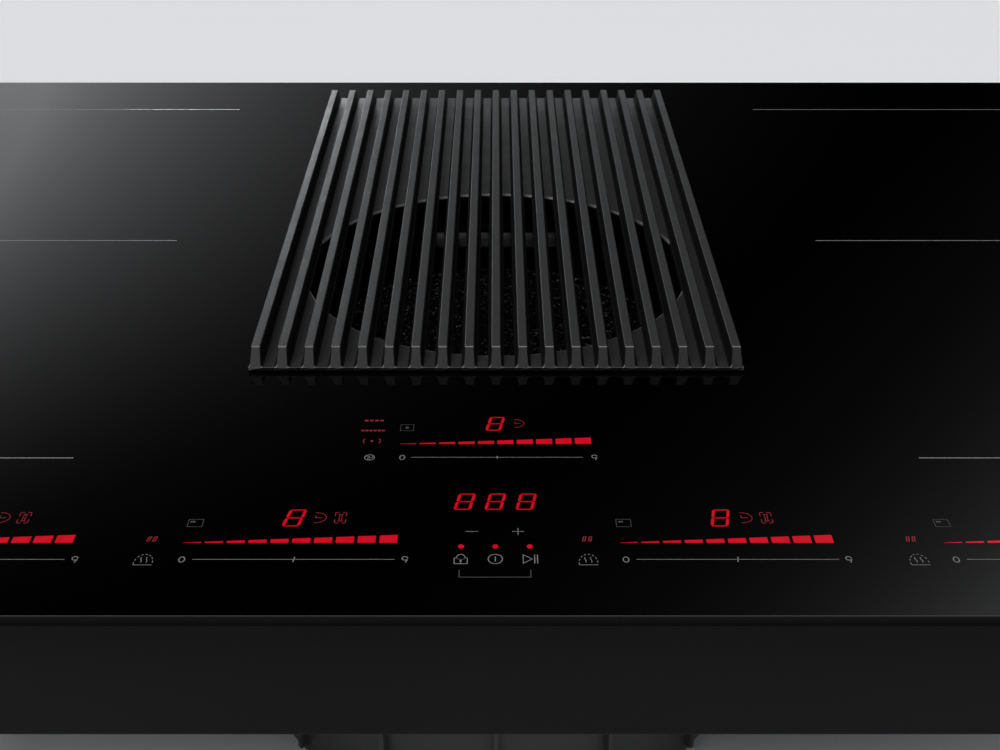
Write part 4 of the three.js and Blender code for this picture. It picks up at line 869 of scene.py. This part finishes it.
def tubUnderside(shell):
    d = tubSize
    s, outer, inside = d["spoke"], d["plenum"], d["half"] - d["border"]
    merged(shell, turned([
        (0, 0.5), (29, 0.5), (29.8, 0.05), (46.2, 0.05), (47, 0.75), (57, 0.75), (57.8, 0.05),
        (d["seat"] - 0.6, 0.05), (d["seat"], 1), (0, 1)], blowerY, 0, steps=96))
    merged(shell, turned([(outer - s, 1), (outer - s, 0.05), (outer - 0.4, 0.05), (outer - 0.4, 1)], blowerY, 0.4))
    for i in range(6):
        spoke = boxMesh(d["seat"] - 1, outer - s + 1, -s / 2, s / 2, 0.06, 1, 0.3)
        merged(shell, moved(spoke, aboutAxis(blowerY, 60 * i + 30)))
    for y in (ventY, ventY - d["half"] / 2):
        reach = math.sqrt(inside ** 2 - (ventY - y) ** 2)
        merged(shell, boxMesh(-reach, reach, y - s / 2, y + s / 2, 0.06, 1, 0.3))
    for x in (-d["half"] / 2, 0, d["half"] / 2):
        reach = math.sqrt(inside ** 2 - x ** 2)
        merged(shell, boxMesh(x - s / 2, x + s / 2, ventY - reach, ventY, 0.07, 1, 0.3))
    footX, fromRear, radius = d["foot"]
    for x in (-footX, footX):
        pad = turned([(0, 0.02), (radius, 0.02), (radius, 1), (0, 1)], d["rear"] - fromRear, 0.3, 2, 32, x)
        merged(shell, pad)


def makeTub():
    d = tubSize
    top, wall, plenum = tubHigh.z, d["wall"], d["plenum"]
    shell = tubShell(top)
    tubRibs(shell, top)
    tubUnderside(shell)
    scroll = arcPoints(0, blowerY, plenum + wall, 180, 360, 60) + arcPoints(0, blowerY, plenum, 360, 180, 60)
    merged(shell, raised(scroll, wall, top - 0.5))
    piece("mouldedTub", shell, "housing", "matt_black", "blower_tub", 35)


deckSize = {
    "thick": 2.5, "lip": 59, "inlet": 50, "slot": (13, 2.5), "slotPitch": 40, "slotFromVent": 82, "slotBow": 12,
}


def makeDeck():
    d = deckSize
    z0, z1, lip, inlet = deckHigh.z - d["thick"], deckHigh.z, d["lip"], d["inlet"]
    halfX, halfY = d["slot"]
    holes = [circlePoints(0, blowerY, lip - 0.5, 96)]
    for i in (-1, 0, 1):
        x, y = i * d["slotPitch"], ventY - d["slotFromVent"] + abs(i) * d["slotBow"]
        holes.append(roundedOutline(x - halfX, x + halfX, y - halfY, y + halfY, halfY - 0.1, 5))
    deck = raised(tubOutline(-tubSize["rim"]), z0, z1, *holes)
    merged(deck, turned([
        (lip, z1), (lip, z0), (inlet + 4, z0 - 2), (inlet + 2, deckLow.z), (inlet, deckLow.z),
        (inlet + 1.2, z0 - 1), (inlet + 5, z1 - 0.8)], blowerY, 1.4, 4))
    piece("bellDeck", deck, "housing", "matt_black", "intake_deck", 35)


chamberSize = {"front": 111, "rear": 84, "top": 4}


def chamberOutline(inset):
    front, rear = chamberSize["front"] - inset, chamberSize["rear"] - inset
    lean = math.degrees(math.asin((front - rear) / (blowerY - ventY)))
    nose = arcPoints(0, ventY, front, 180 - lean, 360 + lean, 84)
    return nose + arcPoints(0, blowerY, rear, lean, 180 - lean, 60)


def makeChamber():
    z0, z1, wall, rim = chamberLow.z, chamberHigh.z, tubSize["wall"], tubSize["rim"]
    ledge = z0 + tubSize["rimThick"]
    levels = (
        (wall, z1 - wall), (wall, z0), (0.4 - rim, z0), (-rim, z0 + 0.4), (-rim, ledge - 0.5), (0.5 - rim, ledge),
        (-1.2, ledge), (-0.3, ledge + 0.3), (0, ledge + 1.2), (0, z1 - 4), (0.6, z1 - 2.2), (2, z1 - 0.7),
        (chamberSize["top"], z1))
    sealLow, sealHigh = box("collar_seal")
    mouth = circlePoints(0, ventY, (sealHigh.x - sealLow.x) / 2 + 0.3, 120)
    outside = [(chamberOutline(inset), z) for inset, z in levels]
    shell = walled(outside, [(mouth, z1 - wall), (mouth, z1)])
    piece("mouldedChamber", shell, "housing", "matt_black", "suction_chamber", 35)


motorSize = {
    "base": 2.8, "flange": 50, "flangeThick": 3, "can": 40, "tall": 24, "boss": 11, "shaft": 4, "shaftTall": 24,
    "groove": (9, 2, 0.8), "lugs": 3,
}


def makeMotor():
    d = motorSize
    z0, can, boss, shaft = d["base"], d["can"], d["boss"], d["shaft"]
    z1 = z0 + d["flangeThick"]
    z2 = z1 + d["tall"]
    rise, wide, deep = d["groove"]
    g0, g1, tip = z1 + rise, z1 + rise + wide, z2 + d["shaftTall"]
    motor = turned([
        (0, z0), (d["flange"], z0), (d["flange"], z1), (can + 0.4, z1), (can, z1 + 1), (can, g0),
        (can - deep, g0 + deep), (can - deep, g1), (can, g1 + deep), (can, z2 - 3), (can - 3, z2),
        (boss + 1, z2), (boss, z2 + 2.5), (shaft, z2 + 2.5), (shaft, tip), (0, tip)], blowerY, 0.5, 3, 96)
    for i in range(d["lugs"]):
        turn = aboutAxis(blowerY, 360 / d["lugs"] * i)
        merged(motor, moved(boxMesh(46, 58, -6, 6, z0 + 0.05, z1 - 0.05, 0.8, 3), turn))
        screwHead(motor, turn @ Matrix.Translation((53.5, 0, z1 - 0.1)), 3.4, 2)
    piece("motorCan", motor, "housing", "steel", "blower_motor", 35)


impellerSize = {
    "base": 34, "top": 86, "rim": 76, "plate": 2, "outer": 80, "eye": 54, "hub": 44, "hubTop": 43.5, "bore": 4.3,
    "blades": 9, "steps": 16, "bend": 62, "sweep": 1.15,
}


def shroudAt(radius):  # height where a blade meets the shroud
    d = impellerSize
    top, knee = d["top"] - 0.2, d["eye"] + 8
    if radius < d["eye"]:
        return top
    if radius < knee:
        return top - (radius - d["eye"]) / 8 * 6
    return top - 6 - (radius - knee) / (d["outer"] - knee) * 4


def makeBlade(start):
    d = impellerSize
    bm = bmesh.new()
    rows = []
    inner, end, steps = d["hub"], d["outer"] - 0.8, d["steps"]
    for i in range(steps + 1):
        radius = inner + (end - inner) * i / steps
        turn = start - (radius - inner) / d["bend"] * d["sweep"]
        lean = turn - math.atan(radius * d["sweep"] / d["bend"])
        half = 0.5 + 0.5 * min(1, 4 * min(i, steps - i) / steps)
        spot = Vector((radius * math.cos(turn), blowerY + radius * math.sin(turn)))
        side = Vector((-math.sin(lean), math.cos(lean))) * half
        low, high = d["base"] + 1.2, shroudAt(radius)
        rows.append([bm.verts.new((*(spot + way), z)) for way, z in (
            (-side, low), (side, low), (side, high), (-side, high))])
    for a, b in zip(rows, rows[1:]):
        bridge(bm, a, b)
    bm.faces.new(rows[0][::-1])
    bm.faces.new(rows[-1])
    bmesh.ops.recalc_face_normals(bm, faces=bm.faces)
    return bm


def makeImpeller():
    d = impellerSize
    base, top, rim, plate = d["base"], d["top"], d["rim"], d["plate"]
    outer, eye, hub, hubTop, bore = d["outer"], d["eye"], d["hub"], d["hubTop"], d["bore"]
    wheel = turned([
        (outer, rim - plate), (outer, rim), (eye + 9, top - 5), (eye + 2, top + 2), (eye, top + 2),
        (eye + 7, top - 8)], blowerY, 1, 4)
    merged(wheel, turned([
        (outer, base), (outer, base + plate), (hub, base + plate), (30, base + 7), (14, hubTop + 6),
        (bore, hubTop + 6), (bore, hubTop), (12, hubTop), (28, base + 4.6), (hub - 2, base)], blowerY, 1, 4))
    for i in range(d["blades"]):
        merged(wheel, makeBlade(i * 2 * math.pi / d["blades"]))
    piece("bladedWheel", wheel, "impeller", "grey_plastic", "impeller", 35)


glandSize = {"wall": 5, "seat": 10, "nutFrom": 8, "nutThick": 5, "nutBore": 4}


def makeGland():
    d = glandSize
    low, high = box("cable_gland")
    radius, y0, y1 = (high.x - low.x) / 2, low.y, high.y
    seat, inner = y1 - d["seat"] - 4, radius - d["wall"]
    body = turned([
        (inner, y0), (radius - 2, y0), (radius - 2, seat), (radius - 1, seat), (radius - 1, y1 - 3),
        (radius - 3.4, y1), (inner, y1)], 0, 0.6, 3, 48)
    nutLow = y0 + d["nutFrom"]
    bore = circlePoints(0, 0, radius - d["nutBore"], 36)
    nut = raised(circlePoints(0, 0, radius, 6), nutLow, nutLow + d["nutThick"], bore)
    bevelled(nut, edgesAt(nut, lambda spot: spot.xy.length > radius - 0.1), 0.5)
    middle = Matrix.Translation(((low.x + high.x) / 2, 0, (low.z + high.z) / 2))
    gland = moved(merged(body, nut), middle @ Matrix.Rotation(math.radians(-90), 4, "X"))
    piece("glandBody", gland, "housing", "matt_black", "cable_gland", 35)


screwSize = {
    "tubLedge": 3.2, "tubTurns": (196, 226, 256, 284, 314, 344), "tubSide": (50, 118, 186),
    "chamberRim": 3.4, "chamberFront": (200, 240, 300, 340), "chamberRear": (40, 90, 140),
    "motorCircle": 52, "boardInset": 8, "clampInset": (1.15, 5, 2.1), "coverInset": 7,
}


def makeScrews():
    d = screwSize
    bm = bmesh.new()
    under = Matrix.Rotation(math.pi, 4, "X")

    def circle(y, radius, turns):
        return [(radius * math.cos(a), y + radius * math.sin(a)) for a in map(math.radians, turns)]

    def fasten(spots, z, radius, height, turn=under):
        for x, y in spots:
            screwHead(bm, Matrix.Translation((x, y, z)) @ turn, radius, height)

    ledge = tubSize["half"] + d["tubLedge"]
    spots = circle(ventY, ledge, d["tubTurns"]) + [(x, y) for x in (-ledge, ledge) for y in d["tubSide"]]
    fasten(spots, tubHigh.z - tubSize["rimThick"] + 0.05, 2.6, 1.9)
    spots = circle(ventY, chamberSize["front"] + d["chamberRim"], d["chamberFront"])
    spots += circle(blowerY, chamberSize["rear"] + d["chamberRim"], d["chamberRear"])
    fasten(spots, chamberLow.z + tubSize["rimThick"] - 0.05, 2.4, 1.8, Matrix.Identity(4))
    fasten(circle(blowerY, d["motorCircle"], (0, 120, 240)), 0.8, 3.6, 0.75)
    trayFloor = box("base_tray")[0].z + 0.05
    for side, way in (("left", -1), ("right", 1)):
        low, high = box("power_board_" + side)
        inset = d["boardInset"]
        fasten([(x, y) for x in (low.x + inset, high.x - inset) for y in (low.y + inset, high.y - inset)],
               trayFloor, 3.2, 1.6)
        for end in ("front", "rear"):
            low, high = box("worktop_clamp_" + end + "_" + side)
            insetX, insetY, drop = d["clampInset"]
            x = high.x - insetX if way < 0 else low.x + insetX
            fasten([(x, low.y + insetY), (x, high.y - insetY)], high.z - drop, 1.8, 1.2,
                   Matrix.Rotation(way * math.pi / 2, 4, "Y"))
    low, high = box("terminal_cover")
    y = (low.y + high.y) / 2
    fasten([(low.x + d["coverInset"], y), (high.x - d["coverInset"], y)], low.z + 0.05, 2.8, 1.5)
    piece("screwHeads", bm, "housing", "steel", limit=40)


makeCollar()
makeCup()
print("collar and cup ready")
makeTub()
makeDeck()
makeChamber()
print("blower housing ready")
makeMotor()
makeImpeller()
makeGland()
makeScrews()
print("blower ready")

# Printed and lit marks lie on the glass, placed from its middle and from its front edge.
markLow, markHigh = glassTop + 0.004, glassTop + 0.03


def ribbon(bm, points, width, closed):
    spots = [Vector((x, glassFront + v)) for x, v in points]
    steps = [(b - a).normalized() for a, b in zip(spots, spots[1:] + spots[:1])]
    if not closed:
        steps[-1] = steps[-2]
    rings = []
    for i, spot in enumerate(spots):
        arriving = steps[i - 1] if closed or i else steps[0]
        middle = (arriving + steps[i]).normalized()
        out = Vector((-middle.y, middle.x)) * (width / 2 / max(0.5, middle.dot(arriving)))
        rings.append([bm.verts.new((*(spot + way), z)) for way, z in (
            (out, markHigh), (-out, markHigh), (-out, markLow), (out, markLow))])
    for a, b in zip(rings, rings[1:]):
        bridge(bm, a, b)
    if closed:
        bridge(bm, rings[-1], rings[0])
    else:
        bm.faces.new(rings[0][::-1])
        bm.faces.new(rings[-1])


def patch(bm, points):
    merged(bm, raised([(x, glassFront + v) for x, v in points], markLow, markHigh))


def oval(x, v, halfWidth, halfHeight, start, end, steps):
    spots = [(x + halfWidth * a, v + halfHeight * b) for a, b in arcPoints(0, 0, 1, start, end, steps)]
    return spots[:-1] if end - start == 360 else spots


# Every mark is drawn into bm at x, v. Its own sizes follow.
def path(bm, x, v, width, spots, closed=False):
    ribbon(bm, [(x + a, v + b) for a, b in spots], width, closed)


def arc(bm, x, v, width, halfWidth, halfHeight, start=0, end=360, steps=20):
    ribbon(bm, oval(x, v, halfWidth, halfHeight, start, end, steps), width, end - start == 360)


def dot(bm, x, v, halfWidth, halfHeight, steps):
    patch(bm, oval(x, v, halfWidth, halfHeight, 0, 360, steps))


digitSize = {"lean": 0.18, "gap": 0.13, "level": 0.52, "overhang": 0.7}


def digit(bm, x, v, width, height, stroke):
    d = digitSize
    lean, gap = d["lean"], stroke * d["gap"]
    w, h = (width - lean * height - stroke) / 2, (height - stroke) / 2
    segments = ((-w, h, w, h), (w, h, w, 0), (w, 0, w, -h), (-w, -h, w, -h), (-w, 0, -w, -h), (-w, h, -w, 0),
                (-w, 0, w, 0))
    for x0, v0, x1, v1 in segments:
        length = math.hypot(x1 - x0, v1 - v0)
        east, north = (x1 - x0) / length, (v1 - v0) / length
        half = stroke / 2 * (d["level"] if v0 == v1 else 1)
        tip = gap + half
        form = [(gap, 0), (tip, half), (length - tip, half), (length - gap, 0), (length - tip, -half),
                (tip, -half)]
        if v0 == v1 and v0:  # the top and the bottom segment are longer on their outer side
            outer, over = math.copysign(half, v0), half * d["overhang"]
            form = [(-over, outer), (length + over, outer), (length - tip, -outer), (tip, -outer)]
        spots = [(x0 + east * t - north * n, v0 + north * t + east * n) for t, n in form]
        patch(bm, [(x + a + lean * b, v + b) for a, b in spots])


numeralSize = {"stroke": 0.3, "halfWidth": 0.9, "zero": 1.4, "nine": 1.6, "bowl": 0.96}


def zero(bm, x, v):
    arc(bm, x, v, numeralSize["stroke"], numeralSize["halfWidth"], numeralSize["zero"], steps=24)


def nine(bm, x, v):
    d = numeralSize
    w, h, bowl = d["halfWidth"], d["nine"], d["bowl"]
    arc(bm, x, v + h - bowl, d["stroke"], w, bowl)
    path(bm, x, v, d["stroke"], ((w, h - bowl), (w * 0.92, 0), (w * 0.3, -h)))


def timer(bm, x, v, width, height):
    left = x - width / 2
    arc(bm, left, v, 0.22, width, height * 0.46, -96, 96, 16)
    path(bm, left, v, 0.24, ((-0.1, height * 0.2), (-0.1, 0), (width * 0.6, 0)))


def rectangle(x0, x1, v0, v1):
    return (x0, v0), (x1, v0), (x1, v1), (x0, v1)


def zone(bm, x, v, width, height, inner):  # a frame and a small block inside it, in shares of the frame
    w, h = width / 2, height / 2
    path(bm, x, v, 0.2, rectangle(-w, w, -h, h), True)
    patch(bm, [(x + a * width, v + b * height) for a, b in rectangle(*inner)])


def bridged(bm, x, v, width, height):  # two zones joined to one
    w, h = width / 2, height / 2
    for side in (-w, w):
        for end in (-h, h):
            path(bm, x, v, 0.24, ((side, end * 0.3), (side, end * 0.88), (side * 0.82, end), (side * 0.3, end)))
    for a in (-0.22 * w, 0.22 * w):
        path(bm, x + a, v, 0.22, ((0, -0.62 * h), (0, 0.62 * h)))
    for b in (-0.62 * h, 0.62 * h):
        path(bm, x, v + b, 0.24, ((-0.46 * w, 0), (0.46 * w, 0)))


def dome(bm, x, v, width, height):  # a dashed dome over two waves
    w, h = width / 2, height / 2
    for start in range(2, 178, 25):
        arc(bm, x, v - h * 0.62, 0.2, w * 0.98, h * 1.62, start, start + 13, 3)
    path(bm, x, v - h, 0.2, ((-w, 0), (w, 0)))
    wave = [(0.24 * math.sin(k * 0.9), h * k / 7) for k in range(8)]
    for side in (-0.3, 0.3):
        path(bm, x + side * w, v - h * 0.55, 0.2, wave)


def fan(bm, x, v, radius):
    arc(bm, x, v, 0.26, radius, radius, steps=28)
    blade = 0.34 * radius
    for i, (a, b) in enumerate(arcPoints(x, v, 0.42 * radius, 30, 270, 2)):
        arc(bm, a, b, 0.26, blade, blade, 120 * i - 140, 120 * i + 50, 8)


rampSize = {"low": 0.1, "high": 4.4, "bars": 10, "share": 0.83}


def ramp(bm, x, v, length):
    d = rampSize
    span = d["bars"] - 1 + d["share"]
    pitch, rise = length / span, (d["high"] - d["low"]) / span
    for i in range(d["bars"]):
        (a, low), (b, high) = [(x + k * pitch, v + d["low"] + k * rise) for k in (i, i + d["share"])]
        patch(bm, [(a, v), (b, v), (b, high), (a, low)])


def dashes(bm, x, v, length, count, width=0.9, share=0.7):
    pitch = length / (count - 1 + share)
    for i in range(count):
        path(bm, x + i * pitch, v, width, ((0, 0), (pitch * share, 0)))


def flatPiece(name, bm, look):
    bmesh.ops.recalc_face_normals(bm, faces=bm.faces)
    piece(name, bm, "housing", "black_glass_ceramic", looks=(look,))


def drawMarks(name, marks, shift=0, number=""):
    for look, drawn in marks.items():
        bm = bmesh.new()
        for mark, x, v, *sizes in drawn:
            mark(bm, x + shift, v, *sizes)
        flatPiece(name + look + number, bm, look)


zoneLines = {"inner": 151.2, "outer": 391, "places": (88.8, 279.5, 468.8), "width": 0.5}
fanPanel = {
    "Print": (
        (zero, -33.6, 89.1), (nine, 35.2, 89.1), (path, -30.4, 89.2, 0.2, ((0, 0), (61.4, 0))),
        (path, 0.4, 90, 0.4, ((0, 0), (0, -1.6))), (fan, -45.3, 89.1, 1.75)),
    "Faint": ((zone, -32.9, 109.5, 4.8, 4.3, (-0.12, 0.12, -0.15, 0.15)),),
    "Lights": ((ramp, -34.9, 98.2, 69.5), (digit, -0.3, 112.3, 7.6, 10.1, 1)),
    "Low": (
        (timer, 8.7, 112.5, 3.3, 6.2), (dashes, -49, 114.6, 7.1, 4), (dashes, -49.7, 107.5, 8.6, 6),
        (arc, -47.2, 100.2, 0.3, 1.2, 1.9, 125, 235, 6), (arc, -43.4, 100.2, 0.3, 1.2, 1.9, 55, -55, 6),
        (dot, -45.3, 100.2, 0.5, 0.6, 12)),
}
sliderPlaces = (-206.9, -100.9, 41.7, 147.7)
slider = {
    "Print": (
        (zero, 0, 28.4), (nine, 71.6, 28.4), (path, 3.3, 28.5, 0.19, ((0, 0), (65.1, 0))),
        (path, 36.1, 29.8, 0.34, ((0, 0), (-0.3, -2.6))), (dome, -12.1, 28.4, 6.1, 5.6)),
    "Faint": ((zone, 0.75, 48.6, 4.9, 4.2, (-0.36, -0.02, 0.08, 0.28)),),
    "Lights": ((ramp, -1.4, 37.5, 70), (digit, 33.4, 51.6, 7.8, 10.2, 1)),
    "Low": (
        (timer, 42.3, 51.7, 3.5, 6.3), (bridged, 48.8, 51.7, 3.7, 6.1), (digit, -12.8, 39.6, 1.7, 3, 0.34),
        (digit, -10.9, 39.6, 1.7, 3, 0.34)),
}
centre = {
    "Print": (
        (path, -10, 43.8, 0.22, ((0, 0), (4, 0))), (path, 5.3, 43.8, 0.22, ((0, 0), (3.9, 0))),
        (path, 7.25, 41.9, 0.24, ((0, 0), (0, 3.8))),
        (path, -11.35, 28.7, 0.26, ((-1.6, 0.5), (-2.1, 0.5), (-2.1, -2.5), (2.1, -2.5), (2.1, 0.5), (1.6, 0.5))),
        (arc, -11.35, 29.2, 0.26, 1.4, 2, 0, 180, 12), (dot, -11.35, 27.75, 0.36, 0.42, 12),
        (path, -11.35, 28.7, 0.26, ((0, -2.3), (0, -1.1))), (arc, -0.25, 28.7, 0.26, 2.3, 2.5, 0, 360, 32),
        (path, -0.25, 28.7, 0.3, ((0, -1.3), (0, 1.3))),
        (path, 8.7, 28.7, 0.26, ((0, -2.3), (0, 2.3), (2.9, 0)), True),
        (path, 12.4, 28.7, 0.3, ((0, -2.3), (0, 2.3))), (path, 13.3, 28.7, 0.3, ((0, -2.3), (0, 2.3)))),
    "Faint": (
        (arc, -11.35, 29.2, 0.3, 1.3, 0.7, 190, 350, 8),
        (path, -11.7, 19.2, 0.3, ((0, 3.8), (0, 0), (22.7, 0), (22.7, 3.8)))),
    "Lights": (
        *((digit, x, 61.2, 7.8, 10.2, 1) for x in (-10.65, -0.2, 10.3)),
        *((dot, x, 35.5, 1, 1.1, 16) for x in (-11.4, -0.25, 10.95))),
}


def makeZoneLines(label, side):
    d = zoneLines
    bm = bmesh.new()
    for v in d["places"]:
        path(bm, 0, v, d["width"], ((side * d["inner"], 0), (side * d["outer"], 0)))
    flatPiece("zoneLines" + label, bm, "Print")


makeZoneLines("Left", -1)
makeZoneLines("Right", 1)
drawMarks("fanPanel", fanPanel)
for number, place in enumerate(sliderPlaces, 1):
    drawMarks("slider", slider, place, str(number))
drawMarks("centre", centre)
print("marks ready")

roundings = {"base_tray": 0.5, "outlet_spigot": 0.6, "glass_frame": 0.4, "glass_seal": 0.3, "others": 0.25}


def roundNode(name, node):
    weld = node.modifiers.new("weld", "WELD")
    weld.merge_threshold = 0.00001
    rounding = node.modifiers.new("rounding", "BEVEL")
    rounding.width = roundings.get(name, roundings["others"]) * mm
    rounding.segments = 2
    rounding.limit_method = "ANGLE"
    rounding.angle_limit = math.radians(34)
    even = node.modifiers.new("even", "WEIGHTED_NORMAL")
    even.keep_sharp = True


for name, node in frame["nodes"].items():
    if not node.hide_render:
        roundNode(name, node)
print("roundings ready")
